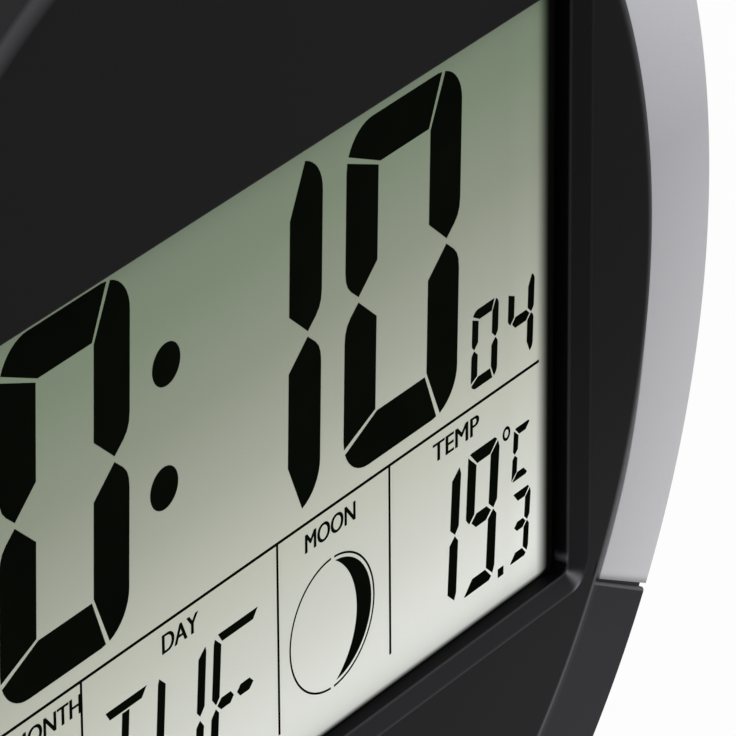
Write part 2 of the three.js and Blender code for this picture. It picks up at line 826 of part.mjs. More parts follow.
function keyholeCut(grow, z0, z1) {
  const head = drum(keyholeHeadDiameter + grow, z0, z1, 0, keyholeCentreY);
  const slotRadius = (keyholeSlotWidth + grow) / 2;
  const slotEnd = keyholeSlotTop - keyholeSlotWidth / 2;
  const slot = block(2 * slotRadius, slotEnd - keyholeCentreY, z0, z1, 0, (slotEnd + keyholeCentreY) / 2);
  return join([head, slot, drum(2 * slotRadius, z0, z1, 0, slotEnd)]);
}

function batteryBay() {
  const outer = block(
    2 * (bayHalfLength + bayWall), 2 * (bayHalfHeight + bayWall),
    wall / 2, bayFloorZ + bayWall, 0, bayCentreY,
  );
  const inner = block(2 * bayHalfLength, 2 * bayHalfHeight, -wall, bayFloorZ, 0, bayCentreY);
  return { outer, inner };
}

// Curved rests for the cells on the floor of the bay.
function cellRests() {
  return [-1, 1].map((side) => {
    const x = (side * bayHalfLength) / 2;
    const rest = block(
      bayWall, 2 * bayHalfHeight + bayWall,
      cellZ + cellDiameter / 4, bayFloorZ + bayWall / 2, x, bayCentreY,
    );
    const cells = [-1, 1].map((row) => {
      const trough = new THREE.CylinderGeometry(
        cellDiameter / 2 + seatGap, cellDiameter / 2 + seatGap, 2 * bayHalfLength, 32,
      );
      return solid(trough.rotateZ(Math.PI / 2).translate(0, cellY(row), cellZ));
    });
    return rest.subtract(join(cells));
  });
}

function doorCut() {
  const width = doorWidth + 2 * doorGap;
  const height = doorTopY - doorBottomY + 2 * doorGap;
  const opening = block(width, height, -wall, doorTopZ + seatGap, 0, (doorTopY + doorBottomY) / 2);
  const pinSlots = [-1, 1].map((side) => (
    block(doorPinLength + 2 * seatGap, doorPinDiameter + 2 * seatGap, -wall, doorTopZ + seatGap,
      side * (width / 2 + doorPinLength / 2), doorPivotY)
  ));
  return join([opening, ...pinSlots]);
}

// Ledge under the door's edge: the cover is thicker round the door so that the cut leaves a floor.
function doorFrame() {
  const margin = doorPinLength + 2 * bayWall;
  return roundedPlate(
    doorWidth + 2 * margin, doorTopY - doorBottomY + 2 * margin, margin,
    wall / 2, doorTopZ + seatGap + bayWall,
    0, (doorTopY + doorBottomY) / 2,
  );
}

function rearCover() {
  const panelFrame = roundedPlate(
    panelWidth + 2 * wall, panelHeight + 2 * wall, panelCorner + panelTaper,
    wall / 2, panelInnerZ, 0, panelCentreY,
  );
  const screwCups = screwAngles.map((angle) => {
    const [x, y] = polar(caseScrewCircle, angle);
    const cupDiameter = caseScrewHeadDiameter + 2 * counterboreClearance + 2 * bossWall;
    return drum(cupDiameter, slopeZ(caseScrewCircle), flangeInnerZ, x, y);
  });
  const bay = batteryBay();
  let cover = join([
    coverShell(), panelFrame, doorFrame(), bay.outer,
    keyholeCut(2 * keyholeRim, wall / 2, 2 * wall), ...screwCups,
  ]);

  const panelOutline = (tapers) => roundedOutline(
    panelWidth + tapers * panelTaper,
    panelHeight + tapers * panelTaper,
    panelCorner + ((tapers + 1) * panelTaper) / 4,
  );
  const panelCut = lofted([
    { outline: panelOutline(2), z: -panelTaper },
    { outline: panelOutline(1), z: 0 },
    { outline: panelOutline(-1), z: panelOuterZ },
  ], 0, panelCentreY);
  const buttonHoles = buttonPlaces().map(([x, y]) => (
    drum(buttonDiameter + 2 * seatGap, 0, panelInnerZ + wall, x, y)
  ));
  const sliderSlot = block(
    sliderKnobWidth + sliderTravel + 2 * seatGap, sliderKnobHeight + 2 * seatGap,
    0, panelInnerZ + wall, sliderX, panelCentreY,
  );
  const counterbores = screwAngles.flatMap((angle) => {
    const [x, y] = polar(caseScrewCircle, angle);
    return [
      drum(caseScrewHeadDiameter + 2 * counterboreClearance, -wall, flangeOuterZ, x, y),
      drum(caseScrewDiameter + 2 * seatGap, 0, flangeInnerZ + wall, x, y),
    ];
  });
  const vents = Array.from({ length: ventCount }, (_, i) => block(
    ventWidth, ventLength, -wall, 2 * wall,
    ventX + (i - (ventCount - 1) / 2) * ventPitch, boardCentreY,
  ));
  const tabSlot = block(
    doorTabWidth + 2 * doorGap, doorTabLength + 2 * doorGap,
    -wall, doorTopZ + seatGap, 0, doorTopY + doorTabLength / 2,
  );
  const thumbNotch = drum(thumbNotchWidth, -wall, thumbNotchDepth, 0, doorTopY + doorTabLength);
  const contactTabs = terminalPlaces().map(({ x, y, wallSide }) => (
    block(2 * bayWall + 2 * seatGap, tabWidth + 2 * seatGap,
      tabZ - tabWidth / 2 - seatGap, tabZ + tabWidth / 2 + seatGap,
      x + wallSide * bayWall, y)
  ));
  cover = cover.subtract(join([
    panelCut, ...buttonHoles, sliderSlot, ...counterbores, ...vents,
    bay.inner, doorCut(), tabSlot, thumbNotch, ...contactTabs,
    keyholeCut(0, -wall, 3 * wall),
  ]));
  return piece('rear_cover', 'blackAbs', geometryOf(join([cover, ...cellRests()])));
}

// Battery door: a plate with a rounded pivot edge, two pivot pins and a finger tab that snaps home.
function batteryDoor() {
  const height = doorTopY - doorPivotY;
  const plate = block(doorWidth, height, seatGap, doorTopZ, 0, doorPivotY + height / 2);
  const roller = (diameter, length) => solid(
    new THREE.CylinderGeometry(diameter / 2, diameter / 2, length, 20)
      .rotateZ(Math.PI / 2).translate(0, doorPivotY, doorPivotZ),
  );
  const edge = roller(doorThickness, doorWidth);
  const pins = roller(doorPinDiameter, doorWidth + 2 * doorPinLength);
  const tab = block(
    doorTabWidth, doorTabLength + doorThickness, seatGap, doorTopZ,
    0, doorTopY + (doorTabLength - doorThickness) / 2,
  );
  const grips = Array.from({ length: doorGripCount }, (_, i) => block(
    doorGripWidth, doorGripLine, -wall, seatGap + doorGripDepth,
    0, doorTopY - doorGripInset - i * doorGripPitch,
  ));
  return piece('battery_door', 'blackAbs', geometryOf(
    join([plate, edge, pins, tab]).subtract(join(grips)),
  ));
}

// Batteries and contacts. The upper cell's nub points right and the lower cell's points left.

function cell(name, row, nubSide) {
  const can = cellDiameter / 2;
  const profile = [
    [0, 0], [can - cellRim, 0], [can, cellRim],
    [can, cellLength - cellRim], [can - cellRim, cellLength],
    [nubDiameter / 2, cellLength], [nubDiameter / 2, cellLength + nubLength], [0, cellLength + nubLength],
  ];
  const lathe = new THREE.LatheGeometry(profile.map(([r, h]) => new THREE.Vector2(r, h)), smallRoundSteps);
  lathe.translate(0, -cellLength / 2, 0).rotateZ((-nubSide * Math.PI) / 2);
  const mesh = piece(name, 'cellJacket', geometryOf(solid(lathe)));
  mesh.position.set(nubSide * cellShift, cellY(row), cellZ);
  return mesh;
}

function terminalPlaces() {
  return [1, -1].map((row) => ({ x: -bayHalfLength, y: cellY(row), wallSide: -1, row }));
}

// Conical coil from a contact plate to a cell's flat end.
class ConeHelix extends THREE.Curve {
  constructor(fromX, toX, y) {
    super();
    this.ends = [fromX, toX];
    this.y = y;
  }

  getPoint(t, target = new THREE.Vector3()) {
    const angle = 2 * Math.PI * springTurns * t;
    const radius = THREE.MathUtils.lerp(springBaseRadius, springTopRadius, t);
    const x = THREE.MathUtils.lerp(this.ends[0], this.ends[1], t);
    return target.set(x, this.y + radius * Math.cos(angle), cellZ + radius * Math.sin(angle));
  }
}

function contactPlate(side, row) {
  const sheet = new THREE.BoxGeometry(contactThickness, contactWidth, contactWidth);
  return solid(sheet.translate(side * contactPlateX, cellY(row), cellZ));
}

function contactSpring(side, row) {
  const from = side * (contactPlateX - springWire / 4);
  const to = side * (contactPlateX - contactThickness / 2 - springLength + seatGap + springWire / 2);
  return solid(tube(new ConeHelix(from, to, cellY(row)), springWire, springTurns * 8, 5));
}

function terminal(name, row, sprung) {
  const reach = bayHalfLength + 2 * bayWall - contactPlateX;
  const tab = block(reach, tabWidth, tabZ - contactThickness / 2, tabZ + contactThickness / 2,
    -contactPlateX - reach / 2, cellY(row));
  const parts = [contactPlate(-1, row), tab];
  if (sprung) parts.push(contactSpring(-1, row));
  return piece(name, 'plated', geometryOf(join(parts)));
}

function bridgeContact() {
  const link = new THREE.BoxGeometry(contactThickness, cellPitch, contactWidth / 2);
  link.translate(contactPlateX, bayCentreY, cellZ);
  return piece('bridge_contact', 'plated', geometryOf(join([
    contactPlate(1, 1), contactPlate(1, -1), solid(link), contactSpring(1, -1),
  ])));
}

// Insulated wire from a terminal's tab up to the board's lower edge.
function lead(name, finish, row, shift) {
  const startX = -bayHalfLength - 2 * bayWall - seatGap - leadDiameter / 2;
  const endX = startX - shift;
  const y = cellY(row);
  const slackZ = boardBackZ - leadSlack;
  const padZ = boardBackZ - seatGap - leadDiameter / 2;
  const padY = boardBottomY + 2 * leadTail;
  const route = new THREE.CatmullRomCurve3([
    new THREE.Vector3(startX, y - leadTail, tabZ),
    new THREE.Vector3(startX, y + leadBend, tabZ),
    new THREE.Vector3(startX - leadBend - shift / 6, y + cellPitch * 0.6, tabZ - leadTail / 2),
    new THREE.Vector3(endX, bayCentreY + bayHalfHeight + 2 * leadBend, slackZ),
    new THREE.Vector3(endX, padY, slackZ),
    new THREE.Vector3(endX, padY + leadBend, padZ),
    new THREE.Vector3(endX, padY + 2 * leadBend, padZ),
  ]);
  return piece(name, finish, tube(route, leadDiameter, 16, 6));
}

// Screws: a pan head on a plain shank with a cone point. The first is made and the rest repeat it.
function screws(name, { diameter, length, headDiameter, headHeight }, seatZ, places) {
  const top = seatZ - headHeight - seatGap;
  const geometry = geometryOf(revolved([
    [0, top],
    [(headDiameter / 2) * panHeadFlat, top],
    [headDiameter / 2, seatZ - headHeight * panHeadRim - seatGap],
    [headDiameter / 2, seatZ - seatGap],
    [diameter / 2, seatZ - seatGap],
    [diameter / 2, seatZ + length - diameter / 2],
    [0, seatZ + length],
  ], 10));
  return places.map(([x, y], i) => {
    const mesh = piece(`${name}_${i + 1}`, 'plated', geometry);
    mesh.position.set(x, y, 0);
    return mesh;
  });
}

const clock = new THREE.Group();
clock.rotation.x = Math.PI / 2;

const front = new THREE.Group();
front.add(frontHousing(), silverTrim('left'), silverTrim('right'));

const display = new THREE.Group();
display.add(lcdGlass(), lcdReflector(), lcdHolder(), zebraStrip());

const electronics = new THREE.Group();
electronics.add(
  mainBoard(), controllerBlob(), clockCrystal(), smoothingCapacitor(), thermistor(),
  keyMat(), unitSwitchBody(), unitSlider(),
);
['mode_button', 'set_button', 'plus_button', 'minus_button'].forEach((name, i) => {
  electronics.add(pushButton(name, buttonPlaces()[i]));
});

const back = new THREE.Group();
back.add(rearCover(), batteryDoor());

const power = new THREE.Group();
power.add(
  cell('battery_upper', 1, 1), cell('battery_lower', -1, -1),
  bridgeContact(), terminal('negative_terminal', 1, true), terminal('positive_terminal', -1, false),
  lead('negative_lead', 'blackPvc', 1, 0), lead('positive_lead', 'redPvc', -1, leadSpread),
);

const caseScrew = {
  diameter: caseScrewDiameter,
  length: caseScrewLength,
  headDiameter: caseScrewHeadDiameter,
  headHeight: caseScrewHeadHeight,
};
const smallScrew = {
  diameter: smallScrewDiameter,
  length: smallScrewLength,
  headDiameter: smallScrewHeadDiameter,
  headHeight: smallScrewHeadHeight,
};
const fasteners = new THREE.Group();
fasteners.add(
  ...screws('case_screw', caseScrew, flangeOuterZ, screwAngles.map((angle) => polar(caseScrewCircle, angle))),
  ...screws('holder_screw', smallScrew, holderLugBackZ, holderFixings()),
  ...screws('board_screw', smallScrew, boardBackZ, boardFixings()),
);

clock.add(front, display, electronics, back, power, fasteners);

export default clock;
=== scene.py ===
import math

import bmesh
import bpy
import numpy as np
from mathutils import Matrix, Vector
from mathutils.geometry import delaunay_2d_cdt


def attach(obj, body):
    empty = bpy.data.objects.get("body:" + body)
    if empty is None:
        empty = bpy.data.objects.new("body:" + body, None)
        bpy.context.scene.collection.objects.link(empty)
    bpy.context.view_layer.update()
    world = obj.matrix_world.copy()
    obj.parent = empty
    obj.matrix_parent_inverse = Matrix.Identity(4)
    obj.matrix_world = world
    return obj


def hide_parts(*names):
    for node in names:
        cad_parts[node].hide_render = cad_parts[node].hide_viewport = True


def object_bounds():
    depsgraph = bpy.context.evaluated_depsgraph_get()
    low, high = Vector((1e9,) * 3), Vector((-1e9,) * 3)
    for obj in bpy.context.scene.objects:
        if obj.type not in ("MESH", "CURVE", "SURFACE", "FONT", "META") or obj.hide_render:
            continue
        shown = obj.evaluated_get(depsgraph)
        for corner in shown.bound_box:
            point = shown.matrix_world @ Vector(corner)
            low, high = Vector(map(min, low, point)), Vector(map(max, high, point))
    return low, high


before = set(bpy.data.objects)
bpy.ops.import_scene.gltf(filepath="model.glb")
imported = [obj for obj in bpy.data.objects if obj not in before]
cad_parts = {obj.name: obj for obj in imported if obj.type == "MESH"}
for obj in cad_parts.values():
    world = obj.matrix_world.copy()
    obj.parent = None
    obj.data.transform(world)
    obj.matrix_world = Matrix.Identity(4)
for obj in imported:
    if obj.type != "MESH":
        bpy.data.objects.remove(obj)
cad_low, cad_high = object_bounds()

# Camera. The picture is taken from the clock's upper left through a long lens, close enough to
# the face that only its right half is in frame. Places are metres in the part's own frame.
camera_place = Vector((-0.98366, -0.73267, 0.65849))
camera_target = Vector((0.03582, -0.0300, 0.01129))
camera_roll = -0.0068
camera_lens = 392.0
camera_sensor = 36.0

camera_data = bpy.data.cameras.new("camera")
camera_data.lens = camera_lens
camera_data.sensor_width = camera_sensor
camera_data.clip_start = 0.05
camera_data.clip_end = 50
camera = bpy.data.objects.new("camera", camera_data)
bpy.context.scene.collection.objects.link(camera)
forward = (camera_target - camera_place).normalized()
level = forward.cross(Vector((0, 0, 1))).normalized()
upright = level.cross(forward)
across = math.cos(camera_roll) * level + math.sin(camera_roll) * upright
upward = math.cos(camera_roll) * upright - math.sin(camera_roll) * level
camera.matrix_world = Matrix((across, upward, -forward)).transposed().to_4x4()
camera.location = camera_place
bpy.context.scene.camera = camera
bpy.context.scene.view_settings.view_transform = "Standard"


# Studio. A sheet of pale paper under the clock, white all round, and large soft boxes: one high
# on the camera's side, one low on the right, and one behind for the back cover.
def colour(hex_code):
    """Linear red, green, blue and alpha of an sRGB hex colour, by the sRGB curve."""
    channels = [int(hex_code[i:i + 2], 16) / 255 for i in (1, 3, 5)]
    linear = [c / 12.92 if c <= 0.04045 else ((c + 0.055) / 1.055) ** 2.4 for c in channels]
    return (*linear, 1.0)


def add_node(tree, kind, inputs=None, **settings):
    """One node of a kind, with its settings, each input set to a value or joined to a socket."""
    node = tree.nodes.new(kind)
    for key, value in settings.items():
        setattr(node, key, value)
    for key, value in (inputs or {}).items():
        if isinstance(value, bpy.types.NodeSocket):
            tree.links.new(value, node.inputs[key])
        else:
            node.inputs[key].default_value = value
    return node


def new_tree(name):
    """An empty node material and its tree."""
    material = bpy.data.materials.new(name)
    material.use_nodes = True
    material.node_tree.nodes.clear()
    return material, material.node_tree


def seen_directly(tree):
    """1 for rays from the camera, mirrored rays and rays through glass, and 0 for the rest."""
    path = add_node(tree, "ShaderNodeLightPath")
    either = add_node(tree, "ShaderNodeMath", {
        0: path.outputs["Is Camera Ray"], 1: path.outputs["Is Glossy Ray"]}, operation="MAXIMUM")
    return add_node(tree, "ShaderNodeMath", {
        0: either.outputs[0], 1: path.outputs["Is Transmission Ray"]}, operation="MAXIMUM").outputs[0]


world_strength = 0.5
paper_size = 6.0
paper_glow_share = 0.88

world = bpy.data.worlds.new("studio")
bpy.context.scene.world = world
world.use_nodes = True
world.node_tree.nodes.clear()
lit = add_node(world.node_tree, "ShaderNodeBackground", {
    "Color": colour("#FFFFFF"), "Strength": world_strength})
shown = add_node(world.node_tree, "ShaderNodeBackground", {
    "Color": colour("#FFFFFF"), "Strength": 1.0})
mixed = add_node(world.node_tree, "ShaderNodeMixShader", {
    0: seen_directly(world.node_tree), 1: lit.outputs[0], 2: shown.outputs[0]})
add_node(world.node_tree, "ShaderNodeOutputWorld", {0: mixed.outputs[0]})

paper, tree = new_tree("pale_paper")
sheet = add_node(tree, "ShaderNodeBsdfDiffuse", {"Color": colour("#F4F4F2")})
glow = add_node(tree, "ShaderNodeEmission", {"Color": colour("#FFFFFF"), "Strength": 1.0})
share = add_node(tree, "ShaderNodeMath", {
    0: seen_directly(tree), 1: paper_glow_share}, operation="MULTIPLY")
blended = add_node(tree, "ShaderNodeMixShader", {
    0: share.outputs[0], 1: sheet.outputs[0], 2: glow.outputs[0]})
add_node(tree, "ShaderNodeOutputMaterial", {0: blended.outputs[0]})

floor_mesh = bpy.data.meshes.new("floor")
half = paper_size / 2
floor_mesh.from_pydata(
    [(-half, -half, cad_low.z), (half, -half, cad_low.z), (half, half, cad_low.z), (-half, half, cad_low.z)],
    [], [(0, 1, 2, 3)])
floor_mesh.materials.append(paper)
floor = bpy.data.objects.new("floor", floor_mesh)
bpy.context.scene.collection.objects.link(floor)


def soft_box(name, place, size, power):
    """A square area lamp at a place in metres, facing the clock, with its power in watts."""
    lamp = bpy.data.lights.new(name, "AREA")
    lamp.shape = "SQUARE"
    lamp.size = size
    lamp.energy = power
    box = bpy.data.objects.new(name, lamp)
    bpy.context.scene.collection.objects.link(box)
    box.location = place
    box.rotation_mode = "QUATERNION"
    box.rotation_quaternion = (-Vector(place)).to_track_quat("-Z", "Y")


soft_box("key_box", (-1.1, -1.7, 1.5), 1.1, 24)
soft_box("fill_box", (1.7, -1.3, 0.5), 1.2, 8)
soft_box("back_box", (0.6, 1.9, 1.2), 1.2, 22)


# Front housing. One black ABS moulding: a flat face with a stepped window, a rounded shoulder,
# a lower ring with a pocket for a silver trim on each side, and a drafted side down to the rim.
def grid_quads(rows, columns, wrap_rows=False, wrap_columns=True):
    """Corner numbers of a grid's quads, its points numbered row by row. Each quad goes up a row,
    along a column and back down, and a wrapped side joins its last line of points to its first."""
    row, column = np.meshgrid(
        np.arange(rows if wrap_rows else rows - 1),
        np.arange(columns if wrap_columns else columns - 1), indexing="ij")
    up = (row + 1) % rows
    along = (column + 1) % columns
    corners = (row * columns + column, up * columns + column, up * columns + along, row * columns + along)
    return np.stack(corners, axis=-1).reshape(-1, 4)


def filleted(path, radii, steps=4, margin=0.3):
    """A polyline whose inner corners become parabolas that begin and end a radius away, each with
    a support point a margin further out, so that the flats beside it stay flat when shaded."""
    path = np.asarray(path, float)
    share = np.linspace(0, 1, steps + 1)[:, None]
    pieces = [path[:1]]
    for before, corner, after, radius in zip(path[:-2], path[1:-1], path[2:], radii):
        back = (before - corner) / np.linalg.norm(before - corner)
        ahead = (after - corner) / np.linalg.norm(after - corner)
        start = corner + back * radius
        end = corner + ahead * radius
        curve = (1 - share) ** 2 * start + 2 * share * (1 - share) * corner + share ** 2 * end
        pieces += [(start + back * margin)[None], curve, (end + ahead * margin)[None]]
    pieces.append(path[-1:])
    return np.vstack(pieces)


weld_distance = 2e-6


def make_piece(name, points, faces, material, body="case", slot=None, stands_for=(), crease=35, weld=False,
               **values):
    """A mesh from points in millimetres on the clock, x right, y up and z off the wall, which the
    part's frame calls x, minus y and z. Edges sharper than the crease angle are shaded sharp. Weld
    joins equal points and turns all faces out, and each further value is a number for every point."""
    placed = np.column_stack((points[:, 0], -points[:, 2], points[:, 1])) * 0.001
    mesh = bpy.data.meshes.new(name)
    mesh.from_pydata(placed.tolist(), [], [list(face) for face in faces])
    mesh.validate()
    for key, numbers in values.items():
        mesh.attributes.new(key, "FLOAT", "POINT").data.foreach_set("value", np.asarray(numbers, np.float32))
    if weld:
        shell = bmesh.new()
        shell.from_mesh(mesh)
        bmesh.ops.remove_doubles(shell, verts=shell.verts, dist=weld_distance)
        bmesh.ops.recalc_face_normals(shell, faces=shell.faces)
        shell.to_mesh(mesh)
        shell.free()
    mesh.shade_smooth()
    mesh.set_sharp_from_angle(angle=math.radians(crease))
    mesh.materials.append(material)
    piece = bpy.data.objects.new(name, mesh)
    bpy.context.scene.collection.objects.link(piece)
    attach(piece, body)
    if stands_for:
        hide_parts(*stands_for)


face_height = 30.0
face_radius = 126.6
shoulder_width = 3.0
shoulder_drop = 1.1
shoulder_power = 1.8
ring_fall = 0.3
shoulder_glow_end = 131.3
rim_radius = 150.0
edge_radius = 0.4
rim_back_height = 8.5
rim_back_radius = 148.6
rim_back_fillet = 0.5
window_width = 215.1
window_height = 124.9
window_centre = -1.6
window_corner = 6.4
lip_corner = 1.6
bevel_inset = 1.7
bevel_side_stretch = 1.47
bevel_depth = 3.2
window_wall_end = 23.0
window_wall_outside = -0.5
window_wall_draft = 0.5
window_run_out = 2.0
face_edge_run = 0.5
face_underside = 27.6
face_wall_inset = 2.0
ring_underside = 24.4
ring_wall = 2.2
inner_radius = 145.5
cover_seat_radius = 144.2
cover_seat_height = 14.4
cover_seat_thickness = 2.0
cover_seat_rows = 4
trim_half_angle = 30.4
trim_joint = 0.8
trim_seat_radius = 129.3
trim_seat_height = 26.6
trim_seat_depth = 2.3
seat_edge_reach = 0.3
seat_edge_fillet = 0.12
rows_before_ring = 8
joint_fillet = 0.7
joint_recess = 0.2
joint_depth = 1.2
joint_lean = 0.45
joint_lean_reach = 5.0
joint_clear = 1.1
joint_spacing = np.array([0.95, 0.7, 0.55, 0.4, 0.26, 0.13, 0.04, 0.0])
joint_open_spacing = (0.1, 0.05)
wall_glint_y = -59.4
wall_glint_reach = 0.62
wall_glint_spread = 1.8
column_degrees = 0.6
corner_columns = 15
trip_steps = 200
quadrants = ((1, 1), (-1, 1), (-1, -1), (1, -1))

ring_top = face_height - shoulder_drop
ring_edge = ring_top - ring_fall
mean_radius = (face_radius + rim_radius) / 2
degrees_per_mm = math.degrees(2 / (face_radius + rim_radius))


def black_abs(name, upper_hex, lower_hex, roughness, grain, toned=False, specular=0.016):
    """Injection-moulded black ABS with a fine spark-eroded texture: a dark satin that shows no
    flow lines, only a slight unevenness in gloss and a grain a few tenths of a millimetre wide.
    Painted light from the floor makes the lower half greyer, and the tone value adds
    painted highlights on edges and painted shade in recesses."""
    material, tree = new_tree(name)
    place = add_node(tree, "ShaderNodeTexCoord").outputs["Object"]
    axes = add_node(tree, "ShaderNodeSeparateXYZ", {0: place})
    # Painted light: the lower half is painted greyer, for the light the white floor throws up.
    height = add_node(tree, "ShaderNodeMapRange", {
        "Value": axes.outputs["Z"], "From Min": -0.125, "From Max": 0.02}, interpolation_type="SMOOTHSTEP")
    graded = add_node(tree, "ShaderNodeMix", {
        0: height.outputs[0], 6: colour(lower_hex), 7: colour(upper_hex)}, data_type="RGBA")
    cloud = add_node(tree, "ShaderNodeTexNoise", {"Vector": place, "Scale": 28.0, "Detail": 3.0})
    uneven = add_node(tree, "ShaderNodeMapRange", {"Value": cloud.outputs[0], "To Min": 0.9, "To Max": 1.1})
    tone = uneven
    if toned:
        # The tone value is painted light and shade: highlights, glints and shade worked out per point.
        painted_light_tone = add_node(tree, "ShaderNodeAttribute", attribute_name="tone")
        tone = add_node(tree, "ShaderNodeMath", {
            0: uneven.outputs[0], 1: painted_light_tone.outputs["Fac"]}, operation="MULTIPLY")
    tint = add_node(tree, "ShaderNodeVectorMath", {
        0: graded.outputs[2], "Scale": tone.outputs[0]}, operation="SCALE")
    pits = add_node(tree, "ShaderNodeTexNoise", {"Vector": place, "Scale": 3200.0, "Detail": 1.0})
    relief = add_node(tree, "ShaderNodeBump", {
        "Height": pits.outputs[0], "Strength": grain, "Distance": 0.00006})
    gloss = add_node(tree, "ShaderNodeMapRange", {
        "Value": cloud.outputs[0], "To Min": roughness - 0.03, "To Max": roughness + 0.03})
    shader = add_node(tree, "ShaderNodeBsdfPrincipled", {
        "Base Color": tint.outputs[0], "Roughness": gloss.outputs[0], "Normal": relief.outputs[0],
        "IOR": 1.5, "Specular IOR Level": specular})
    add_node(tree, "ShaderNodeOutputMaterial", {0: shader.outputs[0]})
    return material


def side_radius(height):
    """Radius of the drafted side at a height, on the straight line from the ring to the rim."""
    share = (rim_radius - rim_back_radius) * (height - rim_back_height) / (ring_edge - rim_back_height)
    return rim_back_radius + share


def window_columns(degrees):
    """For each direction from the clock's centre, the corner-centre point of the window's rounded
    outline and the unit step from it to the outline, read off a finely stepped trip round it."""
    turn = np.linspace(0, math.pi / 2, trip_steps)
    half_size = (window_width / 2 - window_corner, window_height / 2 - window_corner)
    centres = np.repeat(quadrants, trip_steps, axis=0) * half_size
    aim = np.concatenate([turn + quarter * math.pi / 2 for quarter in range(4)])
    x = centres[:, 0] + window_corner * np.cos(aim)
    y = centres[:, 1] + window_corner * np.sin(aim) + window_centre
    heading = np.unwrap(np.arctan2(y, x))
    index = np.arange(len(aim), dtype=float)
    around = np.concatenate((heading - 2 * math.pi, heading, heading + 2 * math.pi))
    trip = np.concatenate((index - len(aim), index, index + len(aim)))
    spot = np.interp(np.radians(degrees), around, trip)
    skeleton_x = np.interp(spot, trip, np.tile(centres[:, 0], 3))
    skeleton_y = np.interp(spot, trip, np.tile(centres[:, 1], 3)) + window_centre
    facing = np.interp(spot, trip, np.concatenate((aim - 2 * math.pi, aim, aim + 2 * math.pi)))
    return np.column_stack((skeleton_x, skeleton_y)), np.column_stack((np.cos(facing), np.sin(facing)))


def past_trim(degrees):
    """Degrees from the middle of the nearer trim, negative before it."""
    return (degrees + 90) % 180 - 90


def housing_columns():
    """Directions of the grid's columns in degrees, and for each how far the trim pocket sinks it
    down and inward, from 0 on the ring to 1 in the pocket. Beside a trim's end the open joint is
    sunk down but hardly inward. Columns crowd at the window's corners and the joints."""
    sweep = np.linspace(0, math.pi / 2, corner_columns)
    directions = [np.arange(0, 360, column_degrees)]
    for sx, sy in quadrants:
        x = sx * (window_width / 2 - window_corner + window_corner * np.cos(sweep))
        y = sy * (window_height / 2 - window_corner + window_corner * np.sin(sweep)) + window_centre
        directions.append(np.degrees(np.arctan2(y, x)) % 360)
    glint_y = wall_glint_y + np.linspace(-wall_glint_spread, wall_glint_spread, 13)
    directions.append(np.degrees(np.arctan2(glint_y, window_width / 2)) % 360)
    end = trim_half_angle + trim_joint * degrees_per_mm
    short = np.maximum(joint_fillet - joint_spacing, 0)
    rounding = joint_fillet - np.sqrt(np.maximum(joint_fillet ** 2 - short ** 2, 0))
    open_part = [end, *[trim_half_angle + gap * degrees_per_mm for gap in joint_open_spacing]]
    beside = np.concatenate((end + joint_spacing * degrees_per_mm, open_part))
    sunk = joint_depth / trim_seat_depth
    down = np.concatenate((rounding / trim_seat_depth, (sunk, sunk, 1.0)))
    inward = np.concatenate((0 * joint_spacing, (joint_recess, joint_recess, 1.0)))
    plain = np.unique(np.concatenate(directions).round(3))
    clear = plain[np.abs(np.abs(past_trim(plain)) - end) > joint_clear * degrees_per_mm]
    under = (np.abs(past_trim(clear)) < end).astype(float)
    joints = [(middle + side * beside) % 360 for middle in (0, 180) for side in (-1, 1)]
    directions = np.concatenate((clear, *joints))
    down = np.concatenate((under, np.tile(down, 4)))
    inward = np.concatenate((under, np.tile(inward, 4)))
    leaving = np.where(past_trim(directions) > 0, -1, 1)
    order = np.lexsort((leaving * (1 - 2 * (down < 1)), directions))
    return directions[order], down[order], inward[order]


degrees, pocket, pocket_inward = housing_columns()
skeleton, step = window_columns(degrees)

# Rows run from behind the window's wall over the face to the rim and back inside. A window row
# is (inset from the window's outline, height) and a round row is (radius, height).
window_rows = filleted(
    [(window_wall_outside, window_wall_end), (bevel_inset - window_wall_draft, window_wall_end),
     (bevel_inset, face_height - bevel_depth), (0.0, face_height), (-window_run_out, face_height)],
    (0.3, 0.35, 0.3))
shoulder_share = np.linspace(0, 1, 11)[:-1]
shoulder_rows = np.column_stack((
    face_radius + shoulder_width * shoulder_share,
    face_height - shoulder_drop * shoulder_share ** shoulder_power))
seat_share = (trim_seat_radius - face_radius) / shoulder_width
seat_top = face_height - shoulder_drop * seat_share ** shoulder_power
side_rows = filleted(
    [(trim_seat_radius + 0.02, seat_top - 0.015), (trim_seat_radius + seat_edge_reach, ring_top),
     (rim_radius, ring_edge), (rim_back_radius, rim_back_height),
     (cover_seat_radius, rim_back_height), (cover_seat_radius, cover_seat_height)],
    (seat_edge_fillet, edge_radius, rim_back_fillet, 0.4), margin=0.12)
glow_end_height = np.interp(shoulder_glow_end, (trim_seat_radius, rim_radius), (ring_top, ring_edge))
side_rows = np.insert(side_rows, rows_before_ring, (shoulder_glow_end, glow_end_height), axis=0)
inside_rows = np.array([
    (inner_radius, cover_seat_height + cover_seat_thickness), (inner_radius, ring_underside),
    (trim_seat_radius - ring_wall, ring_underside), (face_radius - face_wall_inset, face_underside)])
round_rows = np.vstack((
    (face_radius - face_edge_run, face_height), shoulder_rows, (trim_seat_radius, seat_top - 0.01),
    side_rows, inside_rows))


def joint_turn(turn, radius):
    """Small turn in radians that tilts a joint against the radius: none at mid ring, a lean in
    millimetres at its edges, and fading with the square of the distance from the joint."""
    from_trim = np.arcsin(np.sin(turn))
    beyond = (np.abs(from_trim) - np.radians(trim_half_angle)) * mean_radius
    middle = (trim_seat_radius + rim_radius) / 2
    share = np.clip((radius - middle) / (rim_radius - middle), -1, 1)
    share = share * np.exp(-(beyond / joint_lean_reach) ** 2)
    return -np.sign(np.sin(turn) * np.cos(turn)) * joint_lean * share / radius


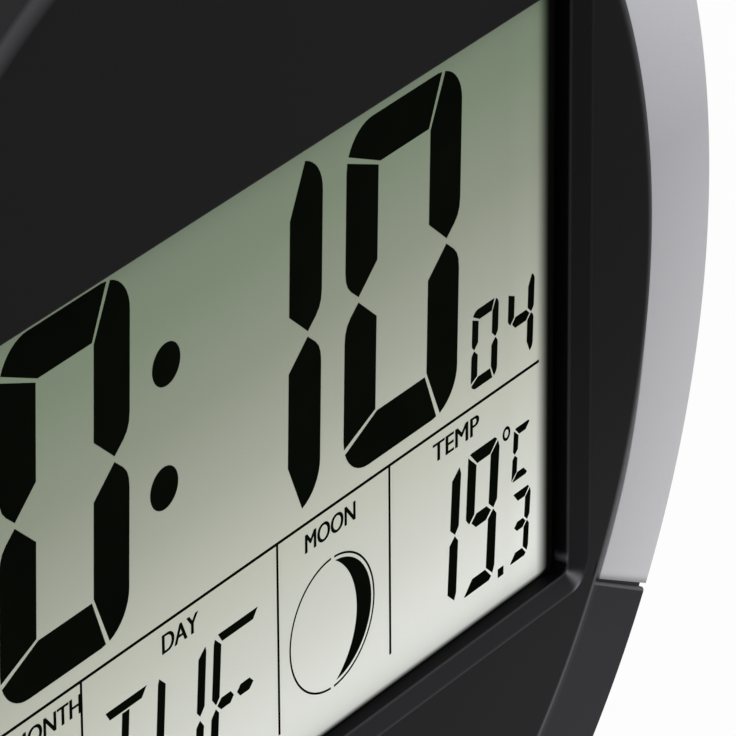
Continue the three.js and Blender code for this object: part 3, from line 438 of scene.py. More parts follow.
def housing_points():
    """Window rows lie on the rounded outline moved in by their inset, with a corner that opens from
    sharp at the lip to round at the face. Round rows lie on circles, and in a trim's sector the
    ring and the side sink by the pocket's depth, to the trim's seat."""
    inset, window_z = window_rows[:, 0], window_rows[:, 1]
    corner = np.interp(window_z, (face_height - bevel_depth, face_height), (lip_corner, window_corner))
    half_size = np.array((window_width / 2, window_height / 2))
    middle = np.array((0.0, window_centre))
    along = (skeleton - middle) / (half_size - window_corner)
    reach = half_size - inset[:, None] * (bevel_side_stretch, 1.0) - corner[:, None]
    flat = middle + along[None] * reach[:, None] + corner[:, None, None] * step[None]
    window = np.dstack((flat, np.repeat(window_z[:, None], len(degrees), 1)))
    radius, z = round_rows[:, 0], round_rows[:, 1]
    last_outside = len(radius) - len(inside_rows) - cover_seat_rows
    outside = (radius > trim_seat_radius + 0.01) & (np.arange(len(radius)) < last_outside)
    sunk_z = np.where(outside, np.minimum(z, trim_seat_height), z)
    sunk_r = np.where(outside, np.minimum(radius, side_radius(z) - trim_seat_depth), radius)
    all_r = radius[:, None] * (1 - pocket_inward) + sunk_r[:, None] * pocket_inward
    all_z = z[:, None] * (1 - pocket) + sunk_z[:, None] * pocket
    turn = np.radians(degrees)[None] + joint_turn(np.radians(degrees)[None], all_r)
    rings = np.dstack((all_r * np.cos(turn), all_r * np.sin(turn), all_z))
    return np.vstack((window, rings))


# Tones for the housing, most of them painted light: painted shade on the window's wall, painted highlights on
# its lip, its bevel's edges, the shoulder, the rim's ridge and the ring's ends, painted glints at the
# window's lower right corner, painted light on the window's low side and the joint's floor, and painted shade
# on the right of the face.
wall_painted_shade = 0.1
wall_edge_painted_shades = (0.25, 0.6)
lip_painted_highlight = 2.7
low_lip_painted_highlight = 3.4
bevel_tone = 1.15
low_bevel_painted_light = 1.8
bevel_edge_painted_highlight = 1.7
low_bevel_edge_painted_highlight = 2.6
window_tones = (
    (8, wall_painted_shade, wall_painted_shade), (1, wall_edge_painted_shades[0], wall_edge_painted_shades[0]),
    (1, wall_edge_painted_shades[1], wall_edge_painted_shades[1]), (3, lip_painted_highlight, low_lip_painted_highlight), (4, bevel_tone, low_bevel_painted_light),
    (3, bevel_edge_painted_highlight, low_bevel_edge_painted_highlight), (3, 1.0, 1.0))
first_face_row = 20
low_side_start = 45
low_side_spread = 20
low_side_end = 135
upper_slope = 4
upper_lift = 2
corner_glint_tone = 10.5
corner_glint_rows = slice(12, 20)
corner_glint_facing = np.linspace(-48, -70, 8)
corner_glint_width = 12
wall_glint_tone = 7.5
wall_glint_rows = slice(7, 12)
wall_glint_shares = np.array((0.25, 0.8, 1.0, 1.0, 0.6))
wall_glint_row = 9
wall_glint_left = 90
right_face_painted_shade = 0.58
right_face_heading = 14
right_face_spread = 34
shoulder_tone_places = (0, 0.1, 0.3, 0.6, 0.9)
shoulder_high_tones = (1.0, 1.8, 3.2, 5.2, 7.2)
shoulder_low_tones = (1.0, 3.6, 5.8, 4.6, 3.2)
glow_row_count = 9
ring_tone = 2.0
ring_upper_tone = 2.65
ring_row_count = 2
ridge_painted_highlight = 4.0
ridge_row_count = 6
joint_edge_share = 0.4
joint_edge_painted_highlight = 7.6
joint_floor_painted_light = 4.0
joint_row_count = 19


def housing_tones(grid):
    """How light the moulding is painted against its face, row by row, mostly painted light and shade:
    painted shade makes the window's wall nearly black, painted highlights lighten the lip, the
    bevel's edges, the shoulder and the rim's ridge, painted light lightens the window's low side,
    and painted shade darkens the face's right. The outer ring is lighter than the face, more so
    above its lower part. Brightest are painted glints in a patch on the window's lower right corner
    and on its wall, and painted highlights on the rounded ends of the ring, with painted light on
    the joint's floor. The window's tones are rows of (number of grid rows, tone, tone on the low side)."""
    facing = np.degrees(np.arctan2(step[:, 1], step[:, 0]))
    low_side = np.clip((-facing - low_side_start) / low_side_spread, 0, 1) * (facing > -low_side_end)
    upper = np.clip(np.sin(np.radians(degrees)) * upper_slope + upper_lift, 0, 1)
    heading = (degrees + 180) % 360 - 180
    from_right = (heading - right_face_heading) / right_face_spread
    right_face = 1 + (right_face_painted_shade - 1) * np.exp(-from_right ** 4)
    counts, levels, low_levels = zip(*window_tones)
    level = np.repeat(levels, counts)[:, None]
    low_level = np.repeat(low_levels, counts)[:, None]
    shoulder_row = len(window_rows) + 1
    glow_row = shoulder_row + len(shoulder_share)
    ring_row = glow_row + glow_row_count
    ridge_row = ring_row + ring_row_count
    tones = np.ones(grid.shape[:2])
    # Window rows: painted shade on the wall, painted highlights on the lip and the bevel's edges, painted
    # light on the low side, then painted shade on the right of the face.
    tones[:len(window_rows)] = level + (low_level - level) * low_side
    tones[first_face_row:shoulder_row] *= right_face
    # The shoulder's painted highlight, laid differently above and below, runs on over the ring to the glow's
    # end.
    high = np.interp(shoulder_share, shoulder_tone_places, shoulder_high_tones)[:, None]
    low = np.interp(shoulder_share, shoulder_tone_places, shoulder_low_tones)[:, None]
    tones[shoulder_row:glow_row] = low + (high - low) * upper
    tones[glow_row:ring_row] = tones[glow_row - 1]
    # The ring, lighter above its lower part, and a painted highlight along the rim's ridge.
    tones[ring_row:ridge_row] = ring_tone + (ring_upper_tone - ring_tone) * upper
    tones[ridge_row:ridge_row + ridge_row_count] = ridge_painted_highlight
    # Painted glints on the bevel's lower right corner and on the window's wall beside it.
    corner_share = np.exp(-((facing - corner_glint_facing[:, None]) / corner_glint_width) ** 2)
    tones[corner_glint_rows] += corner_glint_tone * corner_share
    wall_x, wall_y = grid[wall_glint_row, :, 0], grid[wall_glint_row, :, 1]
    wall_share = np.exp(-((wall_y - wall_glint_y) / wall_glint_reach) ** 2) * (wall_x > wall_glint_left)
    tones[wall_glint_rows] += wall_glint_tone * wall_glint_shares[:, None] * wall_share
    # A painted highlight on the rounded ring ends beside each joint, and painted light on the joint's floor.
    joint_rows = slice(glow_row + 1, glow_row + 1 + joint_row_count)
    tones[joint_rows, (pocket > 0) & (pocket < joint_edge_share)] = joint_edge_painted_highlight
    tones[joint_rows, (pocket > joint_edge_share) & (pocket < 1)] = joint_floor_painted_light
    return tones


housing_grid = housing_points()
# The lower colour is painted light from the floor, and the tone value paints highlights, glints and shade.
housing_abs = black_abs("black_abs_housing", "#151516", "#222224", 0.42, 0.25, toned=True)
make_piece(
    "housing_shell", housing_grid.reshape(-1, 3),
    grid_quads(housing_grid.shape[0], housing_grid.shape[1], wrap_rows=True),
    housing_abs, slot="black_abs", stands_for=("front_housing",),
    tone=housing_tones(housing_grid).ravel())


# Silver trims. Two curved ABS strips sprayed with a satin silver lacquer, let into the ring's
# pockets and wrapped down the side. Their edges are rolled over, and pins behind hold them.
def set_stops(ramp, stops):
    """Sets a colour ramp's stops, each a position from 0 to 1 and a hex colour."""
    elements = ramp.color_ramp.elements
    while len(elements) < len(stops):
        elements.new(0.5)
    for element, (position, hex_code) in zip(elements, stops):
        element.position = position
        element.color = colour(hex_code)


def silver_lacquer(name):
    """Silver lacquer on ABS: half metal in look, with aluminium flakes too fine to see one by one
    that leave a faint sparkle and a slow drift in tone across the strip. Painted light makes it
    darker a little above the middle of its height, and the tone value paints shade at the ends,
    a highlight just inside them and light towards the outer edge."""
    material, tree = new_tree(name)
    place = add_node(tree, "ShaderNodeTexCoord").outputs["Object"]
    flakes = add_node(tree, "ShaderNodeTexNoise", {"Vector": place, "Scale": 2600.0, "Detail": 2.0})
    drift = add_node(tree, "ShaderNodeTexNoise", {"Vector": place, "Scale": 9.0, "Detail": 2.0})
    blend = add_node(tree, "ShaderNodeMath", {0: flakes.outputs[0], 1: drift.outputs[0]}, operation="ADD")
    axes = add_node(tree, "ShaderNodeSeparateXYZ", {0: place})
    height = add_node(tree, "ShaderNodeMapRange", {
        "Value": axes.outputs["Z"], "From Min": -0.07, "From Max": 0.07})
    # Painted light by height: lighter at the top and bottom of the strip, darker a little above its middle.
    fall = add_node(tree, "ShaderNodeValToRGB", {0: height.outputs[0]})
    set_stops(fall, ((0.0, "#B5B5B9"), (0.6, "#9D9DA2"), (1.0, "#BFBFC5")))
    grain = add_node(tree, "ShaderNodeMapRange", {
        "Value": blend.outputs[0], "From Min": 0.6, "From Max": 1.4, "To Min": 0.97, "To Max": 1.05})
    # The tone value is painted light: painted shade at the rolled ends, a painted highlight just inside them
    # and painted light towards the outer edge.
    painted_trim_tone = add_node(tree, "ShaderNodeAttribute", attribute_name="tone")
    level = add_node(tree, "ShaderNodeMath", {
        0: grain.outputs[0], 1: painted_trim_tone.outputs["Fac"]}, operation="MULTIPLY")
    tone = add_node(tree, "ShaderNodeVectorMath", {
        0: fall.outputs[0], "Scale": level.outputs[0]}, operation="SCALE")
    relief = add_node(tree, "ShaderNodeBump", {
        "Height": flakes.outputs[0], "Strength": 0.12, "Distance": 0.00003})
    shader = add_node(tree, "ShaderNodeBsdfPrincipled", {
        "Base Color": tone.outputs[0], "Metallic": 0.35, "Roughness": 0.42, "Normal": relief.outputs[0],
        "Coat Weight": 0.15, "Coat Roughness": 0.3})
    add_node(tree, "ShaderNodeOutputMaterial", {0: shader.outputs[0]})
    return material


trim_inner_radius = 129.4
trim_stand_off = 1.75
trim_thickness = 2.0
trim_back_height = 8.8
trim_end_roll = 0.5
trim_end_zone = 3.6
trim_edge_fillet = 0.3
trim_end_painted_shade = 0.6
trim_painted_shade_reach = 0.8
trim_painted_highlight = 0.02
trim_painted_highlight_place = 1.9
trim_painted_highlight_reach = 0.9
trim_outer_painted_light = 0.07
stand_off_start = 4
stand_off_spread = 20

silver = silver_lacquer("satin_silver_lacquer")
trim_under = ring_top - trim_thickness
trim_middle = (trim_inner_radius + rim_radius) / 2
trim_section = filleted(
    [(trim_middle, trim_under - 0.15),
     (trim_inner_radius, trim_under), (trim_inner_radius, ring_top), (rim_radius, ring_edge),
     (side_radius(trim_back_height), trim_back_height),
     (side_radius(trim_back_height) - trim_thickness, trim_back_height),
     (rim_radius - trim_thickness, trim_under - ring_fall),
     (trim_middle, trim_under - 0.15)],
    (0.2, trim_edge_fillet, edge_radius, 0.4, 0.3, 0.3), margin=0.12)[:-1]


def trim_points(centre):
    """The section carried round the axis. At both ends it shrinks towards its own skin by a
    quarter circle, which rolls the edge over, and closes on a small cap. Below the middle its
    inner edge draws away from the shoulder by a smooth step, the stand-off of a slack fit."""
    roll = np.linspace(0, math.pi / 2, 6)
    inset = trim_end_roll * (1 - np.sin(roll))
    gain = trim_end_roll * (1 - np.cos(roll))
    end_angles = trim_half_angle - gain[::-1] * degrees_per_mm
    near_end = end_angles[-1] - np.linspace(0, trim_end_zone, 13) * degrees_per_mm
    length = np.linspace(-near_end[-1], near_end[-1], 240)[1:-1]
    middle_angles = np.concatenate((-near_end[1:], length, near_end[:0:-1]))
    angles = np.concatenate((-end_angles, middle_angles, end_angles[::-1]))
    drop = np.concatenate((inset, np.zeros(len(middle_angles)), inset[::-1]))
    normal = np.roll(trim_section, -1, 0) - np.roll(trim_section, 1, 0)
    normal = np.column_stack((-normal[:, 1], normal[:, 0]))
    normal /= np.linalg.norm(normal, axis=1)[:, None]
    section = trim_section[None] - normal[None] * drop[:, None, None]
    turned = np.radians(centre + angles)[:, None]
    turned = turned + joint_turn(turned, section[:, :, 0])
    degrees_below = -np.degrees(np.arcsin(np.sin(turned)))
    below = np.clip((degrees_below - stand_off_start) / stand_off_spread, 0, 1)
    stand_off = trim_stand_off * (3 * below ** 2 - 2 * below ** 3)
    radius = section[:, :, 0]
    inner_share = np.clip((trim_middle - radius) / (trim_middle - trim_inner_radius), 0, 1)
    radius = radius + stand_off * inner_share
    # Painted shade on the rolled ends, a painted highlight line just inside them, and painted light towards
    # the outer edge.
    from_end = (trim_half_angle - np.abs(angles)) / degrees_per_mm
    dark = trim_end_painted_shade * np.exp(-(from_end / trim_painted_shade_reach) ** 2)
    light = trim_painted_highlight * np.exp(-((from_end - trim_painted_highlight_place) / trim_painted_highlight_reach) ** 2)
    grid = np.dstack((radius * np.cos(turned), radius * np.sin(turned), section[:, :, 1]))
    across = 1 + trim_outer_painted_light * (trim_section[:, 0] - trim_middle) / (rim_radius - trim_middle)
    return grid, np.outer(1 - dark + light, across).ravel()


for side, centre in (("left", 180), ("right", 0)):
    grid, tone = trim_points(centre)
    rows, columns = grid.shape[:2]
    caps = [list(range(columns))[::-1], list(range((rows - 1) * columns, rows * columns))]
    make_piece(
        f"silver_strip_{side}", grid.reshape(-1, 3),
        grid_quads(rows, columns)[:, ::-1].tolist() + caps,
        silver, slot="silver_paint", stands_for=(f"silver_trim_{side}",), tone=tone)


# Display panel. Two glass plates with a polarising film on the front and a grey-green reflector
# film behind. Its colour is painted darker and greener at the top, a painted reflection of the
# room, and a black mask with a painted shadow of it on the reflector softens its edges.
def rounded_outline(width, height, radius, centre=(0.0, 0.0), steps=8):
    """Points of a rounded rectangle, counter-clockwise: four quarter circles joined by lines."""
    turn = np.linspace(0, math.pi / 2, steps + 1)
    corners = []
    for quarter, (sx, sy) in enumerate(quadrants):
        aim = turn + quarter * math.pi / 2
        corners.append(np.column_stack((
            centre[0] + sx * (width / 2 - radius) + radius * np.cos(aim),
            centre[1] + sy * (height / 2 - radius) + radius * np.sin(aim))))
    return np.vstack(corners)


def stacked(outlines, heights):
    """Points and faces of a closed body: equal outlines one above another from the lowest height
    to the highest, joined by quads and closed by one flat face at each end."""
    count = len(outlines[0])
    points = np.vstack([np.column_stack((o, np.full(count, z))) for o, z in zip(outlines, heights)])
    sides = grid_quads(len(outlines), count)[:, ::-1].tolist()
    top = (len(outlines) - 1) * count
    return points, sides + [list(range(count))[::-1], list(range(top, top + count))]


panel_width = 215.9
panel_height = 127.3
panel_front = 22.7
panel_back = 20.5
panel_chamfer = 0.3
mask_half_width = 104.5
mask_top = 59.1
mask_bottom = -63.1
# Widths of the painted shadow of the mask along each edge, and painted light towards the sides.
side_painted_shadow = 4.2
top_painted_shadow = 3.2
bottom_painted_shadow = 1.3
side_painted_light = 0.22
side_painted_light_start = 91.0
side_painted_light_end = 104.0
film_tilt = 0.04


def display_film(name):
    """Polarising film over a reflector: a matt grey-green whose tone runs up the panel in one
    smooth, slightly tilted ramp of painted reflection, with a very fine mottle from the film, and
    black at the mask. A painted shadow of the mask on the reflector fades it into the black, and
    painted light brightens it towards the sides."""
    material, tree = new_tree(name)
    place = add_node(tree, "ShaderNodeTexCoord").outputs["Object"]
    axes = add_node(tree, "ShaderNodeSeparateXYZ", {0: place})
    tilted = add_node(tree, "ShaderNodeMath", {
        0: axes.outputs["X"], 1: -film_tilt, 2: axes.outputs["Z"]}, operation="MULTIPLY_ADD")
    height = add_node(tree, "ShaderNodeMapRange", {
        "Value": tilted.outputs[0], "From Min": mask_bottom * 0.001, "From Max": mask_top * 0.001})
    # Painted reflection: darker and greener at the top, pale at the bottom.
    ramp = add_node(tree, "ShaderNodeValToRGB", {0: height.outputs[0]})
    set_stops(ramp, ((0.0, "#F2F4EE"), (0.18, "#D6D8D0"), (0.36, "#BFC1B4"), (0.52, "#A5A99C"),
                     (0.68, "#8F9585"), (0.86, "#7B8873"), (1.0, "#778470")))
    mottle = add_node(tree, "ShaderNodeTexNoise", {"Vector": place, "Scale": 1800.0, "Detail": 2.0})
    film = add_node(tree, "ShaderNodeMix", {
        0: 0.04, 6: ramp.outputs[0], 7: mottle.outputs["Color"]}, data_type="RGBA", blend_type="SOFT_LIGHT")
    across_half = add_node(tree, "ShaderNodeMath", {0: axes.outputs["X"]}, operation="ABSOLUTE")
    # Painted shadow of the mask on the reflector: the film fades into the black over a few millimetres,
    # widest at the sides.
    edges = ((across_half.outputs[0], mask_half_width, side_painted_shadow),
             (axes.outputs["Z"], mask_top, top_painted_shadow),
             (axes.outputs["Z"], mask_bottom, -bottom_painted_shadow))
    shares = [add_node(tree, "ShaderNodeMapRange", {
        "Value": value, "From Min": (edge - fade) * 0.001, "From Max": edge * 0.001}).outputs[0]
        for value, edge, fade in edges]
    corner = add_node(tree, "ShaderNodeCombineXYZ", dict(enumerate(shares)))
    reach = add_node(tree, "ShaderNodeVectorMath", {0: corner.outputs[0]}, operation="LENGTH")
    bent = add_node(tree, "ShaderNodeMath", {0: reach.outputs["Value"], 1: 1.5}, operation="POWER")
    left_over = add_node(tree, "ShaderNodeMath", {
        0: 1.0, 1: bent.outputs[0]}, operation="SUBTRACT", use_clamp=True)
    open_share = add_node(tree, "ShaderNodeMath", {0: left_over.outputs[0], 1: 1.8}, operation="POWER")
    # Painted light towards the sides, which makes up for the shade the window's wall casts there.
    brighter = add_node(tree, "ShaderNodeMapRange", {
        "Value": across_half.outputs[0], "From Min": side_painted_light_start * 0.001,
        "From Max": side_painted_light_end * 0.001, "To Min": 1.0, "To Max": 1.0 + side_painted_light})
    lifted = add_node(tree, "ShaderNodeVectorMath", {
        0: film.outputs[2], "Scale": brighter.outputs[0]}, operation="SCALE")
    masked = add_node(tree, "ShaderNodeMix", {
        0: open_share.outputs[0], 6: colour("#0B0C0A"), 7: lifted.outputs[0]}, data_type="RGBA")
    shader = add_node(tree, "ShaderNodeBsdfPrincipled", {
        "Base Color": masked.outputs[2], "Roughness": 0.5, "IOR": 1.5, "Specular IOR Level": 0.05})
    add_node(tree, "ShaderNodeOutputMaterial", {0: shader.outputs[0]})
    return material


film = display_film("reflective_display_film")
panel_outlines = [
    rounded_outline(panel_width - 2 * inset, panel_height - 2 * inset, 0.6, (0.0, window_centre))
    for inset in (panel_chamfer, 0, 0, panel_chamfer)]
panel_points, panel_faces = stacked(
    panel_outlines,
    (panel_back, panel_back + panel_chamfer, panel_front - panel_chamfer, panel_front))
make_piece("display_panel", panel_points, panel_faces, film, slot="display_glass", stands_for=("lcd_glass",))


# Liquid-crystal segments. Digits of seven segments and letters of fourteen, etched in the glass
# and black when switched on. Each is laid on the panel as its own thin closed shape.
def liquid_crystal(name):
    """A switched segment: nearly black with a green cast, matt under the polariser, and slightly
    uneven in tone as the layer's thickness varies."""
    material, tree = new_tree(name)
    place = add_node(tree, "ShaderNodeTexCoord").outputs["Object"]
    cloud = add_node(tree, "ShaderNodeTexNoise", {"Vector": place, "Scale": 60.0, "Detail": 3.0})
    tone = add_node(tree, "ShaderNodeMix", {
        0: cloud.outputs[0], 6: colour("#020501"), 7: colour("#080B06")}, data_type="RGBA")
    shader = add_node(tree, "ShaderNodeBsdfPrincipled", {
        "Base Color": tone.outputs[2], "Roughness": 0.55, "IOR": 1.5, "Specular IOR Level": 0.002})
    add_node(tree, "ShaderNodeOutputMaterial", {0: shader.outputs[0]})
    return material


def arc(centre_x, centre_y, radius_x, radius_y, start, end, steps=8):
    """Points of an ellipse's arc between two angles in degrees."""
    turn = np.radians(np.linspace(start, end, steps + 1))
    return np.column_stack((centre_x + radius_x * np.cos(turn), centre_y + radius_y * np.sin(turn)))


def seven_segments(half_width, half_height, stroke_x, stroke_y, gap, mitred=False):
    """The seven shapes of a digit about its centre, named a to g round from the top with g in the
    middle. Neighbours part on slanting gaps and the side strokes end in points at the middle.
    Outer corners are rounded, or cut straight in the mitred form. The lower half mirrors the upper."""
    inner_x = half_width - stroke_x
    inner_y = half_height - stroke_y
    part = gap / 2
    foot = (inner_x, inner_y - part)
    corner = 0.82 * stroke_y
    right_cut = half_width - 0.604 * stroke_x
    left_cut = inner_y + 0.417 * stroke_y
    side_end = np.array((
        (half_width, 0.72 * stroke_y), (half_width - 0.02 * stroke_x, 0.53 * stroke_y),
        (half_width - 0.076 * stroke_x, 0.385 * stroke_y), (half_width - 0.178 * stroke_x, 0.262 * stroke_y),
        (half_width - 0.421 * stroke_x, 0.055 * stroke_y), (inner_x, 0.57 * stroke_y)))
    if mitred:
        cut_x, cut_y = half_width - 0.2 * stroke_x - part, half_height - 0.3 * stroke_y - part
        top = np.array((
            (part - inner_x, inner_y), (inner_x - part, inner_y),
            (half_width - 0.24 * stroke_x - part, half_height - 0.22 * stroke_y),
            (half_width - 0.5 * stroke_x - part, half_height),
            (part + 0.3 * stroke_x - half_width, half_height),
            (part - half_width + 0.1 * stroke_x, half_height - 0.1)))
        side_end = side_end[[1, 4, 5]]
        right = np.vstack(((cut_x + part, cut_y), (half_width, cut_y - 0.5 * stroke_y), side_end, foot))
        left = np.vstack(((half_width, cut_y + 0.2 * stroke_y), side_end, foot)) * (-1, 1)
    else:
        rise_end = math.degrees(math.asin((left_cut + part - half_height + corner) / corner))
        top = np.vstack((
            (part - inner_x, inner_y), (inner_x - part, inner_y),
            (right_cut - part, half_height - 0.02 * stroke_y), (half_width - corner, half_height),
            arc(corner - half_width, half_height - corner, corner, corner, 90, 180 - rise_end)))
        start = math.degrees(math.acos(min(1.0, (right_cut + part - half_width + corner) / corner)))
        fall_start = math.asin((left_cut - part - half_height + corner) / corner)
        right = np.vstack((
            arc(half_width - corner, half_height - corner, corner, corner, start, 0),
            side_end, foot))
        left = np.vstack((
            (half_width - corner * (1 - math.cos(fall_start)), left_cut - part),
            (half_width, half_height - corner), side_end, foot)) * (-1, 1)
    reach = inner_x + 0.3 * stroke_x
    flat = inner_x - 0.25 * stroke_x
    rise = 0.5 * stroke_y
    middle = np.array([(-reach, 0), (-flat, -rise), (flat, -rise), (reach, 0), (flat, rise), (-flat, rise)])
    flip = np.array((1, -1))
    return {
        "a": top, "b": right[::-1], "f": left, "g": middle,
        "d": (top * flip)[::-1], "c": right * flip, "e": (left * flip)[::-1]}


lit_segments = {
    "0": "abcdef", "1": "bc", "2": "abged", "3": "abgcd", "4": "fgbc", "9": "abcdfg", "C": "afed"}


def digits(text, centre_x, centre_y, pitch, size, slant, mitred=False):
    """Outlines of a run of digits. Size is half width, half height, the strokes' widths and the
    gap, and slant moves each point right by its share of its height above centre_y."""
    shapes = seven_segments(*size, mitred)
    run = []
    for place, digit in enumerate(text):
        for segment in lit_segments[digit]:
            shape = shapes[segment]
            run.append(np.column_stack((
                shape[:, 0] + slant * shape[:, 1] + centre_x + place * pitch, shape[:, 1] + centre_y)))
    return run


def bar(x0, y0, x1, y1, width):
    """A straight stroke of a width between two points."""
    start, end = np.array((x0, y0), float), np.array((x1, y1), float)
    along = (end - start) / np.linalg.norm(end - start)
    side = np.array((-along[1], along[0])) * width / 2
    return np.array([start - side, end - side, end + side, start + side])


def joined(parts):
    """One list of points and one of faces from several."""
    points, faces, first = [], [], 0
    for part_points, part_faces in parts:
        points.append(part_points)
        faces += [[corner + first for corner in face] for face in part_faces]
        first += len(part_points)
    return np.vstack(points), faces


def prisms(outlines, low, high):
    """Points and faces of upright prisms, one for each outline, turned counter-clockwise first."""
    parts = []
    for outline in outlines:
        x, y = outline[:, 0], outline[:, 1]
        if np.sum(x * np.roll(y, -1) - y * np.roll(x, -1)) < 0:
            outline = outline[::-1]
        parts.append(stacked([outline, outline], (low, high)))
    return joined(parts)


segment_low = panel_front - 0.02
segment_high = panel_front + 0.05
time_size = (17.95, 33.9, 9.85, 9.6, 1.1)
time_height = 19.25
time_slant = 0.0315
minute_units_x = 57.41
hour_size = (18.38, 34.28, 10.22, 9.85, 1.1)
hour_units_x = -43.09
hour_height = 20.03
hour_slant = 0.037
digit_pitch = 43.18
colon_radius = 4.08
colon_places = ((-13.73, 31.44), (-15.02, 8.16))
seconds_x = 83.5
seconds_height = -6.6
seconds_pitch = 11.75
seconds_size = (4.25, 7.9, 2.0, 2.15, 0.55)
seconds_slant = 0.045
temperature_x = 69.8
date_x = -87.7
month_x = -59.85
reading_height = -41.6
reading_pitch = 12.57
reading_size = (5.15, 14.4, 2.8, 2.75, 0.5)
reading_slant = 0.07
point_x = 88.8
point_low = -56.95
point_high = -55.15
point_width = 1.85
unit_place = (95.6, -33.85)
unit_size = (2.85, 5.4, 1.6, 1.55, 0.4)
tenths_place = (95.2, -49.05)
tenths_size = (3.1, 7.1, 1.75, 1.85, 0.45)
small_slant = 0.08


def reading(text, x):
    """Outlines of a reading's two digits in the lower row."""
    return digits(text, x, reading_height, reading_pitch, reading_size, reading_slant, mitred=True)


segment_outlines = digits(
    "10", minute_units_x - digit_pitch, time_height, digit_pitch, time_size, time_slant)
segment_outlines += digits(
    "10", hour_units_x - digit_pitch, hour_height, digit_pitch, hour_size, hour_slant)
for place in colon_places:
    segment_outlines.append(arc(*place, colon_radius, colon_radius, 0, 350, 35))
segment_outlines += digits(
    "04", seconds_x, seconds_height, seconds_pitch, seconds_size, seconds_slant)
segment_outlines += reading("19", temperature_x)
segment_outlines.append(bar(point_x, point_low, point_x, point_high, point_width))
segment_outlines += digits("C", *unit_place, 0, unit_size, small_slant, mitred=True)
segment_outlines += digits("3", *tenths_place, 0, tenths_size, small_slant, mitred=True)
segment_outlines += reading("24", date_x) + reading("11", month_x)


def letter_strokes(half_width, half_height, upright, level):
    """The strokes of a letter cell about its centre: a top and bottom bar, four side uprights
    named as in a digit, two centre uprights i and l, and the two halves of the middle bar. Ends
    are cut on a slant so that neighbours leave a fine gap."""
    outer = half_width
    inner = half_width - upright
    bar_top = np.array((
        (0.3 * upright - half_width + 0.5, half_height), (half_width - 0.5 - 0.3 * upright, half_height),
        (inner - 0.25, half_height - level), (0.25 - inner, half_height - level)))
    side = np.array((
        (outer - 0.3, half_height - 0.6), (outer, half_height - 1.6), (outer, 1.9),
        (outer - 0.55 * upright, 0.4), (inner, 1.5), (inner, half_height - level - 0.5)))
    mid = upright * 0.46
    post_top = half_height - level - 0.4
    post = np.array(((-mid, post_top), (mid, post_top), (mid, 1.6), (0, 0.5), (-mid, 1.6)))
    reach = half_width - 0.75 * upright
    halved = np.array(((0.5, 0), (1.5, -0.5 * upright), (reach - 1.2, -0.5 * upright), (reach, 0),
                       (reach - 1.2, 0.5 * upright), (1.5, 0.5 * upright)))
    down = np.array((1, -1))
    across = np.array((-1, 1))
    return {
        "a": bar_top, "d": bar_top * down, "b": side, "c": side * down, "f": side * across, "e": side * -1,
        "i": post, "l": post * down, "g": halved * across, "h": halved}


letter_size = (7.15, 14.1, 2.25, 1.8)
letter_slant = 0.075
day_first_x = -28.35
day_pitch = 16.59
lit_strokes = {"T": "ail", "U": "bcdef", "E": "adefgh"}
letter_cell = letter_strokes(*letter_size)
for place, letter in enumerate("TUE"):
    for stroke_name in lit_strokes[letter]:
        stroke = letter_cell[stroke_name]
        segment_outlines.append(np.column_stack((
            stroke[:, 0] + letter_slant * stroke[:, 1] + day_first_x + place * day_pitch,
            stroke[:, 1] + reading_height)))


def closed_strip(edges):
    """Points and faces of a closed strip, from its four long edges of equally many points."""
    count = len(edges[0])
    faces = grid_quads(4, count, wrap_rows=True, wrap_columns=False).tolist()
    near_end = [0, count, 2 * count, 3 * count]
    far_end = [4 * count - 1, 3 * count - 1, 2 * count - 1, count - 1]
    return np.vstack(edges), faces + [near_end, far_end]


def bands(pairs, low, high):
    """Points and faces of upright closed bands, each between two lines of equally many points."""
    return joined([
        closed_strip([
            np.column_stack((line, np.full(len(line), z)))
            for line, z in ((outer, low), (outer, high), (inner, high), (inner, low))])
        for outer, inner in pairs])


moon_centre = (34.66, -41.42)
moon_radius = 13.3
moon_line = 0.4
moon_gap_degrees = 2.3
moon_halves = ((88.7, 269.3), (-90.7, 88.7))
crescent_radius = 12.25
crescent_inner_x = 7.7
horn_degrees = 84.5
degree_centre = (90.65, -28.15)
degree_outer = (1.25, 1.45)
degree_inner = (0.68, 0.86)
band_pairs = []
for start, end in moon_halves:
    span = (start + moon_gap_degrees, end - moon_gap_degrees, 40)
    band_pairs.append((
        arc(*moon_centre, moon_radius, moon_radius, *span),
        arc(*moon_centre, moon_radius - moon_line, moon_radius - moon_line, *span)))
horn_x = crescent_radius * math.cos(math.radians(horn_degrees))
horn_y = crescent_radius * math.sin(math.radians(horn_degrees))
sag = crescent_inner_x - horn_x + 0.05
inner_curve = (horn_y ** 2 + sag ** 2) / (2 * sag)
inner_turn = math.degrees(math.asin(horn_y / inner_curve))
band_pairs.append((
    arc(*moon_centre, crescent_radius, crescent_radius, -horn_degrees, horn_degrees, 40),
    arc(moon_centre[0] + crescent_inner_x - inner_curve, moon_centre[1], inner_curve, inner_curve,
        -inner_turn, inner_turn, 40)))
for start, end in ((1, 179), (181, 359)):
    band_pairs.append((
        arc(*degree_centre, *degree_outer, start, end, 10),
        arc(*degree_centre, *degree_inner, start, end, 10)))

crystal_black = liquid_crystal("switched_liquid_crystal")
segment_points, segment_faces = joined([
    prisms(segment_outlines, segment_low, segment_high), bands(band_pairs, segment_low, segment_high)])
make_piece(
    "display_segments", segment_points, segment_faces, crystal_black, slot="display_glass", weld=True)


